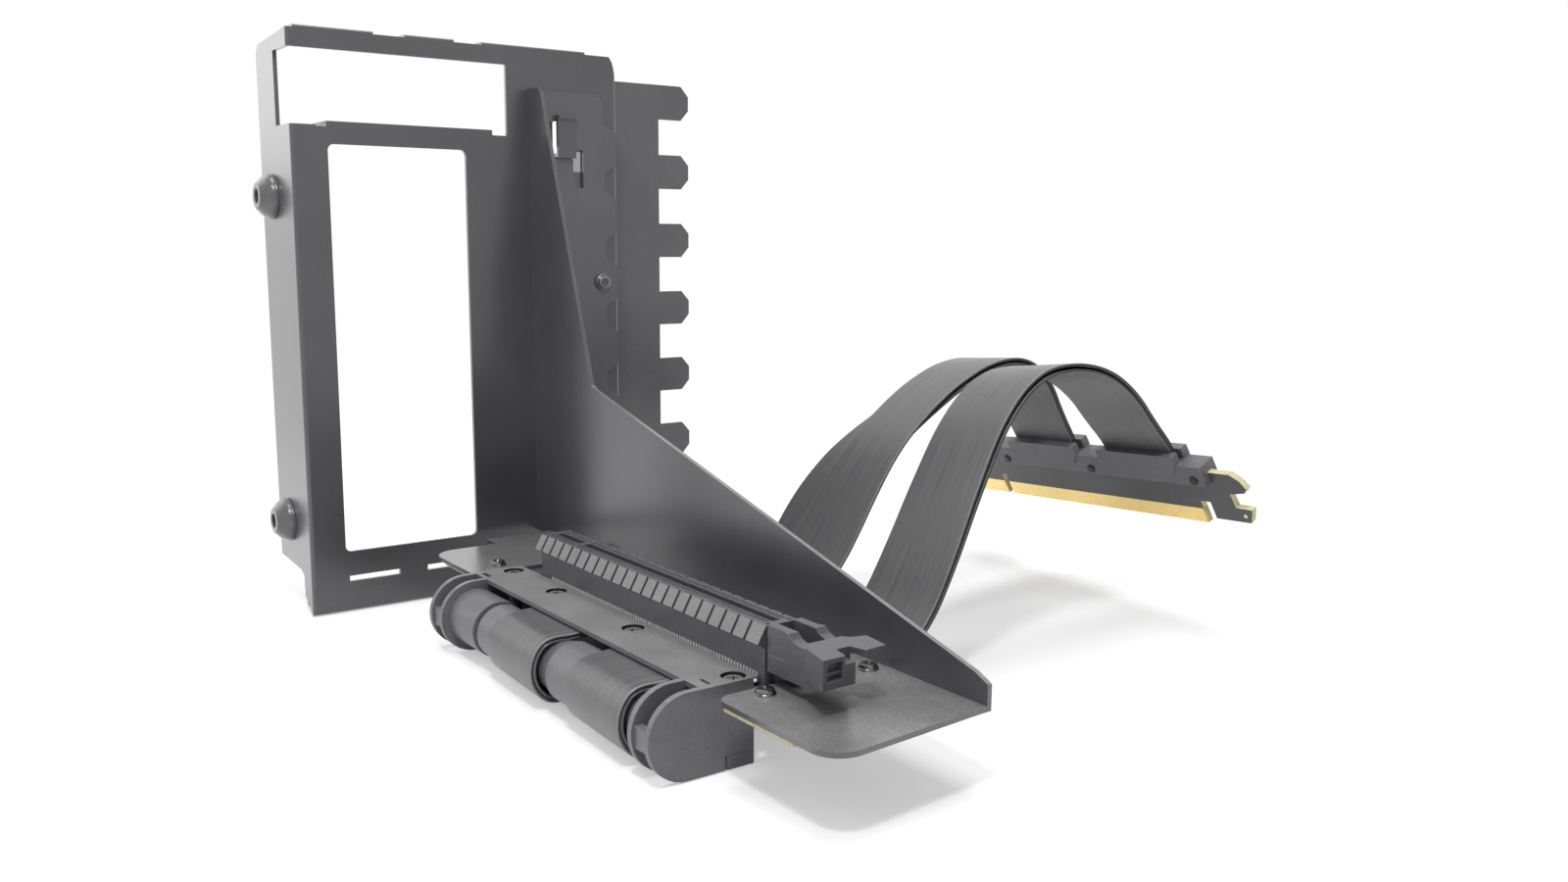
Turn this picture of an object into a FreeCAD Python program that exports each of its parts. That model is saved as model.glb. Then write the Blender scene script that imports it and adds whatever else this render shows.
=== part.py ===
import FreeCAD
import Part
import math
import os
import re

from FreeCAD import Vector

# Vertical card mount: a folded slot frame, a triangular gusset with a shelf,
# a card riser under the shelf and two flat ribbon cables that end in a plug.
# Millimetres. While drawing, X = 0 is the front of the frame's face, Y = 0 is the outer
# side of its left flange and Z = 0 is the floor. Each placement then moves the pieces so
# that the row's origin is on the floor, under the middle of the rigid mount.

doc = FreeCAD.newDocument("vertical_gpu_mount")
sheet = doc.addObject("Spreadsheet::Sheet", "Sizes")

SIZES = [
    # row origin, seen from the drawing origin
    ("origin_x", 75.0),
    ("origin_y", 60.2),
    # folded steel
    ("steel", 1.0),
    ("bend_out", 0.9),
    # slot frame, face
    ("face_w", 87.1),
    ("face_top", 141.8),
    ("upper_low", 119.8),
    ("upper_high", 137.4),
    ("upper_right", 54.9),
    ("upper_wrap", 11.3),
    ("tall_left", 8.6),
    ("tall_right", 43.5),
    ("tall_low", 15.35),
    ("tall_high", 115.4),
    ("tall_round", 1.5),
    ("card_pitch", 20.32),
    ("tongue_left", 9.3),
    ("tongue_w", 13.0),
    ("tongue_low", 7.7),
    ("tongue_tall", 1.4),
    # slot frame, folded edges
    ("left_depth", 25.5),
    ("right_depth", 23.4),
    ("lip_rise", 0.7),
    ("lip_depth", 9.0),
    ("ledge_depth", 11.3),
    ("foot_depth", 12.0),
    # slot frame, comb of the right flange
    ("comb_root", 114.0),
    ("comb_shoulder", 121.75),
    ("comb_tip", 124.4),
    ("comb_first", 11.54),
    ("finger_w", 10.0),
    ("finger_tip_w", 4.13),
    ("finger_count", 7),
    # slot frame, hook that holds the gusset
    ("hook_left", 68.4),
    ("hook_w", 5.3),
    ("hook_low", 114.4),
    ("hook_high", 125.5),
    ("hook_out", 2.2),
    # gusset and shelf
    ("web_y", 61.1),
    ("web_top", 131.8),
    ("kink_x", 31.9),
    ("kink_z", 57.2),
    ("web_end", 172.7),
    ("web_end_z", 20.8),
    ("flange_edge", 86.2),
    ("notch_first", 36.3),
    ("notch_pitch", 18.05),
    ("notch_depth", 3.4),
    ("notch_out", 8.9),
    ("notch_in", 4.9),
    ("notch_count", 5),
    ("shelf_top", 15.45),
    ("shelf_left", 13.0),
    ("shelf_right", 175.5),
    ("shelf_front", 25.7),
    ("shelf_step_x", 7.0),
    ("shelf_step_y", 43.0),
    ("cut_left", 39.0),
    ("cut_right", 141.5),
    ("cut_rear", 46.5),
    ("shelf_round", 6.0),
    # flange screws
    ("knob_x", -17.0),
    ("knob_low", 21.9),
    ("knob_pitch", 81.28),
    ("knob_r", 5.5),
    ("knob_tall", 4.0),
    ("knob_shank", 2.45),
    # bracket screw and shelf screws
    ("pin_y", 81.7),
    ("pin_z", 81.6),
    ("pin_head_r", 2.3),
    ("small_shank", 1.4),
    ("hole_slack", 0.05),
    ("screw_left", 33.9),
    ("screw_right", 144.8),
    ("screw_front", 34.1),
    ("screw_rear", 57.5),
    ("pan_r", 1.75),
    ("pan_tall", 0.75),
    ("washer_r", 2.0),
    ("washer_thick", 0.35),
    # riser board
    ("board_left", 17.0),
    ("board_right", 162.0),
    ("board_front", 27.7),
    ("board_rear", 59.0),
    ("board_thick", 1.6),
    ("board_cut", 36.5),
    # card socket
    ("sock_left", 50.9),
    ("sock_len", 89.0),
    ("sock_mid", 41.3),
    ("sock_half", 3.8),
    ("sock_top", 25.8),
    ("band_low", 21.6),
    ("band_half", 5.4),
    ("band_top_half", 3.6),
    ("groove_first", 53.6),
    ("groove_w", 0.8),
    ("groove_deep", 0.55),
    ("groove_pitch", 4.08),
    ("groove_count", 21),
    ("slot_w", 1.8),
    ("slot_left", 52.8),
    ("slot_right", 138.1),
    ("slot_deep", 8.0),
    ("key_left", 64.2),
    ("key_right", 66.0),
    ("contact_thick", 0.25),
    # card latch
    ("latch_axis_x", 143.0),
    ("latch_axis_z", 20.0),
    ("latch_pin_r", 1.0),
    ("latch_run", 0.05),
    ("latch_start", 140.7),
    ("latch_end", 160.9),
    ("latch_low", 17.9),
    ("latch_high", 26.3),
    ("latch_dip", 24.9),
    ("latch_ridge", 21.1),
    ("latch_skin", 0.4),
    ("ear_start", 153.6),
    ("ear_low", 20.4),
    ("ear_top", 25.7),
    ("ear_thick", 1.15),
    ("ear_half", 7.2),
    ("tongue_half", 1.7),
    # riser cover with cheeks
    ("cover_left", 40.2),
    ("cover_right", 138.3),
    ("cover_front", 25.3),
    ("cover_rear", 37.3),
    ("cover_top", 16.15),
    ("cover_thick", 0.95),
    ("cheek_y", 22.3),
    ("cheek_thick", 1.4),
    ("cheek_inner", 46.0),
    ("cheek_rear", 36.3),
    ("clamp_front", 30.5),
    ("clamp_tall", 2.65),
    ("seam_gap", 0.35),
    ("clamp_floor", 0.6),
    ("clamp_wall", 1.2),
    ("clamp_wall_low", 3.9),
    ("clamp_wall_high", 13.2),
    ("boss_y", 33.7),
    ("boss_r", 1.4),
    ("boss_1", 43.7),
    ("boss_2", 65.7),
    ("boss_3", 99.6),
    ("boss_4", 135.4),
    ("cross_head_r", 1.85),
    ("cross_shank_r", 0.75),
    ("sink_deep", 0.75),
    ("sink_slack", 0.5),
    ("cross_head_thick", 0.4),
    # drum for the ribbons
    ("drum_r", 5.5),
    ("collar_r", 6.4),
    ("drum_groove", 60.6),
    ("drum_groove_w", 0.7),
    # ribbons
    ("ribbon_w", 22.4),
    ("ribbon_thick", 1.5),
    ("ribbon_turn", 6.3),
    ("ribbon_left_x", 81.0),
    ("ribbon_right_x", 116.1),
    ("ribbon_flat_y", 66.0),
    # plug
    ("plug_x", 60.7),
    ("plug_y", 184.4),
    ("plug_z", 21.3),
    ("plug_lean", 28.6),
    ("plug_yaw", -5.3),
    ("plug_roll", -3.9),
    ("plug_board", 1.6),
    ("gold_left", -13.55),
    ("gold_key", 1.9),
    ("gold_right", 71.65),
    ("gold_tall", 4.15),
    ("gold_thick", 0.1),
    ("plug_board_top", 15.3),
    ("shell_left", 3.0),
    ("shell_right", 77.3),
    ("shell_low", 12.2),
    ("shell_top", 17.7),
    ("block_top", 20.4),
    ("shell_half", 3.0),
    ("panel_step", 0.4),
    ("panel_low", 14.9),
    ("exit_left", 23.4),
    ("exit_right", 57.4),
    ("exit_slack", 0.45),
    ("pin_r", 1.1),
    ("pin_v", 13.8),
    ("pin_1", 6.7),
    ("pin_2", 39.8),
    ("pin_3", 74.1),
]

NAMES = set()
for row, (alias, value) in enumerate(SIZES):
    cell = "B%d" % (row + 1)
    sheet.set("A%d" % (row + 1), alias)
    sheet.set(cell, "%r" % value)
    sheet.setAlias(cell, alias)
    NAMES.add(alias)
doc.recompute()


def bound(text):
    """An expression in bare aliases, written for the document."""
    def tie(found):
        word = found.group(0)
        return "Sizes." + word if word in NAMES else word
    return re.sub(r"[A-Za-z_][A-Za-z_0-9]*", tie, str(text))


def val(text):
    """The number that an expression in aliases has now."""
    return float(sheet.evalExpression(bound(text)))


def new_body(name):
    body = doc.addObject("PartDesign::Body", name)
    body.Label = name
    return body


def plane_of(body, role):
    return [f for f in body.Origin.OriginFeatures if f.Role == role][0]


def sketch(body, name, role, height, loops):
    """Closed outlines on one of the body's origin planes, every corner tied to the sheet."""
    sk = body.newObject("Sketcher::SketchObject", name)
    sk.AttachmentSupport = [(plane_of(body, role), "")]
    sk.MapMode = "FlatFace"
    sk.setExpression("AttachmentOffset.Base.z", bound(height))
    ties = []
    for loop in loops:
        if loop[0] == "circle":
            centre = Vector(val(loop[1]), val(loop[2]), 0)
            radius = val(loop[3])
            geo = sk.addGeometry(Part.Circle(centre, Vector(0, 0, 1), radius), False)
            ties.append((sk.addConstraint(Sketcher.Constraint("Radius", geo, radius)), loop[3]))
            number = sk.addConstraint(Sketcher.Constraint("DistanceX", -1, 1, geo, 3, centre.x))
            ties.append((number, loop[1]))
            number = sk.addConstraint(Sketcher.Constraint("DistanceY", -1, 1, geo, 3, centre.y))
            ties.append((number, loop[2]))
            continue
        points = [Vector(val(a), val(b), 0) for a, b in loop]
        first = None
        count = len(points)
        for i in range(count):
            line = Part.LineSegment(points[i], points[(i + 1) % count])
            geo = sk.addGeometry(line, False)
            if first is None:
                first = geo
        for i in range(count):
            after = first + (i + 1) % count
            sk.addConstraint(Sketcher.Constraint("Coincident", first + i, 2, after, 1))
        for i in range(count):
            tie_x = Sketcher.Constraint("DistanceX", -1, 1, first + i, 1, points[i].x)
            ties.append((sk.addConstraint(tie_x), loop[i][0]))
            tie_y = Sketcher.Constraint("DistanceY", -1, 1, first + i, 1, points[i].y)
            ties.append((sk.addConstraint(tie_y), loop[i][1]))
    for number, text in ties:
        sk.setExpression("Constraints[%d]" % number, bound(text))
    doc.recompute()
    return sk


def rect(x0, y0, x1, y1):
    return [(x0, y0), (x1, y0), (x1, y1), (x0, y1)]


def pad(body, name, role, height, length, loops, back=False):
    sk = sketch(body, name + "_outline", role, height, loops)
    feature = body.newObject("PartDesign::Pad", name)
    feature.Profile = sk
    feature.setExpression("Length", bound(length))
    feature.Reversed = back
    body.Tip = feature
    doc.recompute()
    return feature


def pocket(body, name, role, height, length, loops, back=False):
    before = body.Shape.Volume
    sk = sketch(body, name + "_outline", role, height, loops)
    feature = body.newObject("PartDesign::Pocket", name)
    feature.Profile = sk
    feature.setExpression("Length", bound(length))
    feature.Reversed = back
    body.Tip = feature
    doc.recompute()
    if body.Shape.Volume > before - 0.001:
        raise RuntimeError(name + " removes nothing")
    return feature


def pattern(body, name, feature, axis, length, count):
    lp = body.newObject("PartDesign::LinearPattern", name)
    lp.Originals = [feature]
    lp.Direction = (plane_of(body, axis), [""])
    lp.setExpression("Length", bound(length))
    lp.setExpression("Occurrences", bound(count))
    body.Tip = lp
    doc.recompute()
    return lp


def fillet(body, name, radius, middles):
    """Round the straight edges whose middles are given in drawing coordinates."""
    base = body.Tip
    names = []
    for text in middles:
        want = Vector(val(text[0]), val(text[1]), val(text[2]))
        best = min(range(len(base.Shape.Edges)),
                   key=lambda k: (base.Shape.Edges[k].CenterOfMass - want).Length)
        if (base.Shape.Edges[best].CenterOfMass - want).Length > 0.6:
            raise RuntimeError("%s finds no edge at %s" % (name, want))
        names.append("Edge%d" % (best + 1))
    feature = body.newObject("PartDesign::Fillet", name)
    feature.Base = (base, names)
    feature.setExpression("Radius", bound(radius))
    body.Tip = feature
    doc.recompute()
    return feature


def turn(body, name, role, height, loop, axis):
    """A full revolution of an outline about one of the sketch's own axes."""
    sk = sketch(body, name + "_outline", role, height, [loop])
    feature = body.newObject("PartDesign::Revolution", name)
    feature.Profile = sk
    feature.ReferenceAxis = (sk, [axis])
    feature.Angle = 360.0
    body.Tip = feature
    doc.recompute()
    return feature


def settle(thing, x="0", y="0", z="0"):
    """Place a finished piece in the row's frame."""
    thing.setExpression("Placement.Base.x", bound("%s - origin_x" % x))
    thing.setExpression("Placement.Base.y", bound("%s - origin_y" % y))
    thing.setExpression("Placement.Base.z", bound(z))


import Sketcher

PIECES = []

# Slot frame: one folded steel sheet. The upright face has an upper window that runs on
# into the left flange, a tall window for two card brackets and two tongue slots.
frame = new_body("slot_frame")
face_outline = [
    ("0", "0"), ("face_w", "0"), ("face_w", "face_top - 5.4"),
    ("face_w - 1.1", "face_top - 1.5"), ("face_w - 2", "face_top"), ("0", "face_top"),
    ("0", "upper_high"), ("upper_right", "upper_high"), ("upper_right", "upper_low - 0.3"),
    ("upper_right - 4", "upper_low - 0.3"), ("upper_right - 4", "upper_low"),
    ("8.5", "upper_low"), ("8.5", "upper_low - 0.3"), ("6", "upper_low - 0.3"),
    ("6", "upper_low"), ("0", "upper_low"),
]
hook_hole = [
    ("hook_left - 2.1", "hook_low + 0.3"), ("hook_left + hook_w", "hook_low + 0.3"),
    ("hook_left + hook_w", "hook_low - 3.4"), ("hook_left + hook_w + 2.3", "hook_low - 3.4"),
    ("hook_left + hook_w + 2.3", "hook_low + 2"), ("hook_left + hook_w + 0.3", "hook_low + 2"),
    ("hook_left + hook_w + 0.3", "hook_high - 1.5"), ("hook_left - 0.5", "hook_high - 1.5"),
    ("hook_left - 0.5", "hook_low + 3"), ("hook_left - 2.1", "hook_low + 3"),
]
pad(frame, "face", "YZ_Plane", "0", "steel", [
    face_outline,
    rect("tall_left", "tall_low", "tall_right", "tall_high"),
    rect("tongue_left", "tongue_low", "tongue_left + tongue_w", "tongue_low + tongue_tall"),
    rect("tongue_left + card_pitch", "tongue_low",
         "tongue_left + card_pitch + tongue_w", "tongue_low + tongue_tall"),
    hook_hole,
    ["circle", "pin_y", "pin_z", "small_shank + hole_slack"],
], back=True)
pad(frame, "left_flange", "XZ_Plane", "0", "steel", [
    [("0", "0.6"), ("0", "upper_low"), ("-upper_wrap", "upper_low"),
     ("-upper_wrap", "upper_high"), ("0", "upper_high"), ("0", "face_top"),
     ("-left_depth + 2", "face_top - 1.7"), ("-left_depth", "face_top - 3.7"),
     ("-left_depth", "11.2"), ("-8.8", "10.3"), ("-6.6", "9.3"), ("-6.4", "4"),
     ("-4.3", "2.9"), ("-2.4", "2.9"), ("-2.4", "0.6")],
    ["circle", "knob_x", "knob_low", "knob_shank + hole_slack"],
    ["circle", "knob_x", "knob_low + knob_pitch", "knob_shank + hole_slack"],
], back=True)
pad(frame, "foot", "XY_Plane", "0", "steel", [rect("-foot_depth", "2", "0", "face_w - 1.4")])
for number, (low, high) in enumerate([("1.6", "20.7"), ("28.5", "41.2"), ("48.5", "77.8")]):
    pad(frame, "top_lip_%d" % number, "XY_Plane", "face_top + lip_rise - steel", "steel",
        [rect("-lip_depth", low, "0", high)])
pad(frame, "ledge", "XY_Plane", "upper_low", "steel",
    [rect("-ledge_depth", "8.5", "0", "upper_right - 4.1")])
pad(frame, "right_flange", "XZ_Plane", "-(face_w - steel)", "steel",
    [rect("-right_depth", "3", "0", "face_top - 5.4")], back=True)
pad(frame, "comb_plate", "YZ_Plane", "-right_depth", "steel",
    [rect("face_w - steel", "comb_first - finger_w / 2", "comb_root",
          "comb_first + 6 * card_pitch + finger_w / 2")])
finger = pad(frame, "comb_finger", "YZ_Plane", "-right_depth", "steel", [
    [("comb_root - 1", "comb_first - finger_w / 2"),
     ("comb_shoulder", "comb_first - finger_w / 2"),
     ("comb_tip", "comb_first - finger_tip_w / 2"),
     ("comb_tip", "comb_first + finger_tip_w / 2"),
     ("comb_shoulder", "comb_first + finger_w / 2"),
     ("comb_root - 1", "comb_first + finger_w / 2")]])
pattern(frame, "comb", finger, "Z_Axis", "card_pitch * (finger_count - 1)", "finger_count")
pad(frame, "hook_root", "YZ_Plane", "-steel", "steel + hook_out",
    [rect("hook_left", "hook_low", "hook_left + hook_w", "hook_low + 1.2")])
pad(frame, "hook_tongue", "YZ_Plane", "hook_out - steel", "steel",
    [rect("hook_left", "hook_low", "hook_left + hook_w", "hook_high")])
pad(frame, "hook_tip", "YZ_Plane", "hook_out - 0.2", "1",
    [rect("hook_left", "hook_high - 1", "hook_left + hook_w", "hook_high")])
fillet(frame, "window_rounds", "tall_round", [
    ("-steel / 2", "tall_left", "tall_low"), ("-steel / 2", "tall_right", "tall_low"),
    ("-steel / 2", "tall_left", "tall_high"), ("-steel / 2", "tall_right", "tall_high")])
fillet(frame, "side_bends", "bend_out", [
    ("0", "0", "upper_low / 2"), ("0", "0", "(upper_high + face_top) / 2"),
    ("0", "face_w", "(face_top - 5.4) / 2"), ("0", "face_w / 2", "0")])
fillet(frame, "lip_bends", "lip_rise - 0.1", [
    ("0", "11.15", "face_top + lip_rise"), ("0", "34.85", "face_top + lip_rise"),
    ("0", "63.15", "face_top + lip_rise")])
settle(frame)
PIECES.append(frame)

# Gusset and shelf: one folded steel sheet. A notched flange lies on the face's front, the
# triangular web stands on edge and the shelf is folded from the web's lower edge.
gusset = new_body("gusset_shelf")
pad(gusset, "front_flange", "YZ_Plane", "0", "steel", [
    [("web_y", "shelf_top - steel"), ("flange_edge", "shelf_top - steel"),
     ("flange_edge", "web_top - 9.9"), ("flange_edge - 3.6", "web_top - 7.8"),
     ("flange_edge - 3.6", "web_top - 1.9"), ("flange_edge - 5.6", "web_top - 0.4"),
     ("web_y", "web_top - 0.4")],
    [("hook_left - 2.4", "hook_low - 0.1"), ("hook_left + hook_w - 0.3", "hook_low - 0.1"),
     ("hook_left + hook_w - 0.3", "hook_low - 7.7"),
     ("hook_left + hook_w + 2.6", "hook_low - 7.7"), ("hook_left + hook_w + 2.6", "hook_low + 2.3"),
     ("hook_left + hook_w + 0.6", "hook_low + 2.3"), ("hook_left + hook_w + 0.6", "hook_high - 1.2"),
     ("hook_left - 0.8", "hook_high - 1.2"), ("hook_left - 0.8", "hook_high - 2"),
     ("hook_left - 2.4", "hook_high - 2")],
    ["circle", "pin_y", "pin_z", "small_shank + hole_slack"],
])
notch = pocket(gusset, "flange_notch", "YZ_Plane", "0", "steel", [
    [("flange_edge + 1", "notch_first - notch_out / 2"),
     ("flange_edge", "notch_first - notch_out / 2"),
     ("flange_edge - notch_depth", "notch_first - notch_in / 2"),
     ("flange_edge - notch_depth", "notch_first + notch_in / 2"),
     ("flange_edge", "notch_first + notch_out / 2"),
     ("flange_edge + 1", "notch_first + notch_out / 2")]], back=True)
pattern(gusset, "flange_notches", notch, "Z_Axis", "notch_pitch * (notch_count - 1)", "notch_count")
pad(gusset, "web", "XZ_Plane", "-web_y", "steel", [
    [("0", "shelf_top - steel"), ("web_end", "shelf_top - steel"), ("web_end", "web_end_z - 1.5"),
     ("web_end - 3.3", "web_end_z"), ("kink_x + 1.9", "kink_z - 0.9"), ("kink_x", "kink_z"),
     ("6.9", "web_top - 1.3"), ("4.8", "web_top"), ("0", "web_top")]], back=True)
pad(gusset, "shelf", "XY_Plane", "shelf_top - steel", "steel", [
    [("shelf_step_x", "web_y + steel"), ("shelf_step_x", "shelf_step_y"),
     ("shelf_left", "shelf_step_y"), ("shelf_left", "shelf_front"), ("cut_left", "shelf_front"),
     ("cut_left", "cut_rear"), ("cut_right", "cut_rear"), ("cut_right", "shelf_front"),
     ("shelf_right", "shelf_front"), ("shelf_right", "web_y - 1"), ("web_end", "web_y - 1"),
     ("web_end", "web_y + steel")],
    ["circle", "screw_left", "screw_front", "small_shank + hole_slack"],
    ["circle", "screw_right", "screw_front", "small_shank + hole_slack"],
    ["circle", "screw_left", "screw_rear", "small_shank + hole_slack"],
    ["circle", "screw_right", "screw_rear", "small_shank + hole_slack"],
])
fillet(gusset, "shelf_corners", "shelf_round", [
    ("shelf_right", "shelf_front", "shelf_top - steel / 2"),
    ("shelf_left", "shelf_front", "shelf_top - steel / 2")])
fillet(gusset, "shelf_inner_corner", "shelf_round / 2", [
    ("cut_right", "shelf_front", "shelf_top - steel / 2")])
settle(gusset)
PIECES.append(gusset)

# Flange screws: two domed thumb screws through the left flange.
for name, high in (("lower_flange_screw", "knob_low"),
                   ("upper_flange_screw", "knob_low + knob_pitch")):
    knob = new_body(name)
    turn(knob, name + "_turned", "XY_Plane", "0", [
        ("0", "6"), ("knob_shank", "6"), ("knob_shank", "0"), ("knob_r", "0"),
        ("knob_r", "-1.2"), ("knob_r * 0.86", "-knob_tall * 0.62"),
        ("knob_r * 0.56", "-knob_tall"), ("knob_r * 0.34", "-knob_tall"),
        ("knob_r * 0.34", "-knob_tall + 1.2"), ("0", "-knob_tall + 1.2")], "V_Axis")
    settle(knob, "knob_x", "0", high)
    PIECES.append(knob)

# Bracket screw: holds the gusset's flange to the frame's face.
pin = new_body("bracket_screw")
turn(pin, "bracket_screw_turned", "XZ_Plane", "0", [
    ("-steel", "0"), ("-steel", "small_shank"), ("steel", "small_shank"), ("steel", "pin_head_r"),
    ("steel + 0.8", "pin_head_r"), ("steel + 1.5", "pin_head_r * 0.6"), ("steel + 1.5", "0")],
    "H_Axis")
settle(pin, "0", "pin_y", "pin_z")
PIECES.append(pin)


def screw_set(name, profile, spots, height):
    """The same turned screw at several places, kept as one node."""
    shapes = []
    for number, (x, y) in enumerate(spots):
        body = new_body("%s_%d" % (name, number + 1))
        turn(body, "%s_%d_turned" % (name, number + 1), "XZ_Plane", "0", profile, "V_Axis")
        body.setExpression("Placement.Base.x", bound(x))
        body.setExpression("Placement.Base.y", bound(y))
        body.setExpression("Placement.Base.z", bound(height))
        shapes.append(body)
    group = doc.addObject("Part::Compound", name)
    group.Label = name
    group.Links = shapes
    doc.recompute()
    settle(group)
    PIECES.append(group)


# Shelf screws: four pan heads with washers that hold the riser board under the shelf.
screw_set("shelf_screws", [
    ("0", "-steel - board_thick"), ("small_shank", "-steel - board_thick"), ("small_shank", "0"),
    ("washer_r", "0"), ("washer_r", "washer_thick"), ("pan_r", "washer_thick"),
    ("pan_r", "washer_thick + pan_tall * 0.5"), ("pan_r * 0.72", "washer_thick + pan_tall"),
    ("0", "washer_thick + pan_tall")],
    [("screw_left", "screw_front"), ("screw_right", "screw_front"),
     ("screw_left", "screw_rear"), ("screw_right", "screw_rear")], "shelf_top")

# Riser board: lies against the shelf's underside, cut back where the cover sits.
board = new_body("riser_pcb")
pad(board, "board", "XY_Plane", "shelf_top - steel - board_thick", "board_thick", [
    [("board_left", "board_rear"), ("board_left", "board_front"),
     ("cover_left - 0.3", "board_front"), ("cover_left - 0.3", "board_cut"),
     ("cover_right + 0.3", "board_cut"), ("cover_right + 0.3", "board_front"),
     ("board_right", "board_front"), ("board_right", "board_rear")],
    ["circle", "screw_left", "screw_front", "small_shank + hole_slack"],
    ["circle", "screw_right", "screw_front", "small_shank + hole_slack"],
    ["circle", "screw_left", "screw_rear", "small_shank + hole_slack"],
    ["circle", "screw_right", "screw_rear", "small_shank + hole_slack"],
])
settle(board)
PIECES.append(board)

# Card socket: a long moulded housing on the board, with a bevelled and grooved upper band,
# a keyed card slot, and a tongue at its free end that carries the latch.
socket = new_body("socket_housing")
pad(socket, "socket_block", "YZ_Plane", "sock_left", "sock_len", [
    [("sock_mid - sock_half", "shelf_top - steel"), ("sock_mid + sock_half", "shelf_top - steel"),
     ("sock_mid + sock_half", "band_low"), ("sock_mid + band_half", "band_low + 1"),
     ("sock_mid + band_top_half", "sock_top"), ("sock_mid - band_top_half", "sock_top"),
     ("sock_mid - band_half", "band_low + 1"), ("sock_mid - sock_half", "band_low")]])
groove = pocket(socket, "groove", "YZ_Plane", "groove_first", "groove_w", [
    [("sock_mid - band_half - 1", "band_low + 0.6"),
     ("sock_mid - band_half + groove_deep", "band_low + 0.6"),
     ("sock_mid - band_half + groove_deep", "band_low + 1"),
     ("sock_mid - band_top_half + groove_deep", "sock_top + 0.1"),
     ("sock_mid - band_half - 1", "sock_top + 0.1")],
    [("sock_mid + band_half + 1", "band_low + 0.6"), ("sock_mid + band_half + 1", "sock_top + 0.1"),
     ("sock_mid + band_top_half - groove_deep", "sock_top + 0.1"),
     ("sock_mid + band_half - groove_deep", "band_low + 1"),
     ("sock_mid + band_half - groove_deep", "band_low + 0.6")],
], back=True)
pattern(socket, "grooves", groove, "X_Axis", "groove_pitch * (groove_count - 1)", "groove_count")
pocket(socket, "card_slot", "XY_Plane", "sock_top", "slot_deep", [
    rect("slot_left", "sock_mid - slot_w / 2", "key_left", "sock_mid + slot_w / 2"),
    rect("key_right", "sock_mid - slot_w / 2", "slot_right", "sock_mid + slot_w / 2")])
pad(socket, "latch_tongue", "XZ_Plane", "-(sock_mid - tongue_half)", "2 * tongue_half", [
    [("sock_left + sock_len - 1", "shelf_top - steel"), ("cut_right - 0.2", "shelf_top - steel"),
     ("cut_right - 0.2", "shelf_top + 0.4"), ("latch_axis_x + 2.6", "shelf_top + 1.4"),
     ("latch_axis_x + 2.6", "latch_axis_z + 2"), ("sock_left + sock_len - 1", "latch_axis_z + 2")],
    ["circle", "latch_axis_x", "latch_axis_z", "latch_pin_r + latch_run"],
], back=True)
settle(socket)
PIECES.append(socket)

# Socket contacts: a plated strip along each wall of the two card slots.
contact_boxes = []
for x0, x1, tag in (("slot_left + 0.4", "key_left - 0.4", "short"),
                    ("key_right + 0.4", "slot_right - 0.4", "long")):
    for y0, side in (("sock_mid - slot_w / 2", "front"),
                     ("sock_mid + slot_w / 2 - contact_thick", "rear")):
        box = doc.addObject("Part::Box", "contacts_%s_%s" % (tag, side))
        box.setExpression("Length", bound("(%s) - (%s)" % (x1, x0)))
        box.setExpression("Width", bound("contact_thick"))
        box.setExpression("Height", bound("slot_deep - 2.4"))
        box.setExpression("Placement.Base.x", bound(x0))
        box.setExpression("Placement.Base.y", bound(y0))
        box.setExpression("Placement.Base.z", bound("sock_top - slot_deep"))
        contact_boxes.append(box)
contacts = doc.addObject("Part::Compound", "socket_contacts")
contacts.Label = "socket_contacts"
contacts.Links = contact_boxes
doc.recompute()
settle(contacts)
PIECES.append(contacts)

# Card latch: two arms beside the socket's tongue, a pin through it, and a forked tail with a full
# block under its front ear and a thin plate as its rear ear.
latch = new_body("socket_latch")
arm = [
    ("latch_start", "latch_low"), ("ear_start + 1", "latch_low"), ("ear_start + 1", "latch_dip"),
    ("latch_axis_x + 7", "latch_dip"), ("latch_axis_x + 5.4", "latch_dip + 0.5"),
    ("latch_axis_x + 4.2", "latch_high"), ("latch_start", "latch_high"),
]
skin = [
    ("latch_start + 0.6", "latch_low"), ("ear_start", "latch_low"), ("ear_start", "latch_dip"),
    ("latch_axis_x + 7", "latch_dip"), ("latch_axis_x + 5.4", "latch_dip + 0.5"),
    ("latch_axis_x + 4.2", "latch_high"), ("latch_axis_x + 3.2", "latch_high"),
    ("latch_axis_x + 3.2", "latch_ridge"), ("latch_start + 0.6", "latch_ridge"),
]
pad(latch, "front_arm", "XZ_Plane", "-(sock_mid - sock_half)", "sock_half - tongue_half - 0.2",
    [arm], back=True)
pad(latch, "front_skin", "XZ_Plane", "-(sock_mid - sock_half - latch_skin)", "latch_skin",
    [skin], back=True)
pad(latch, "tail_floor", "XZ_Plane", "-(sock_mid - sock_half)", "2 * sock_half", [
    [("latch_axis_x + 6", "latch_low"), ("ear_start + 1", "latch_low"), ("ear_start + 1", "latch_dip"),
     ("ear_start - 1.6", "latch_dip"), ("latch_axis_x + 6", "latch_high - 3.6")]], back=True)
pad(latch, "rear_arm", "XZ_Plane", "-(sock_mid + tongue_half + 0.2)", "sock_half - tongue_half - 0.2",
    [arm], back=True)
pad(latch, "rear_skin", "XZ_Plane", "-(sock_mid + sock_half)", "latch_skin", [skin], back=True)
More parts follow.
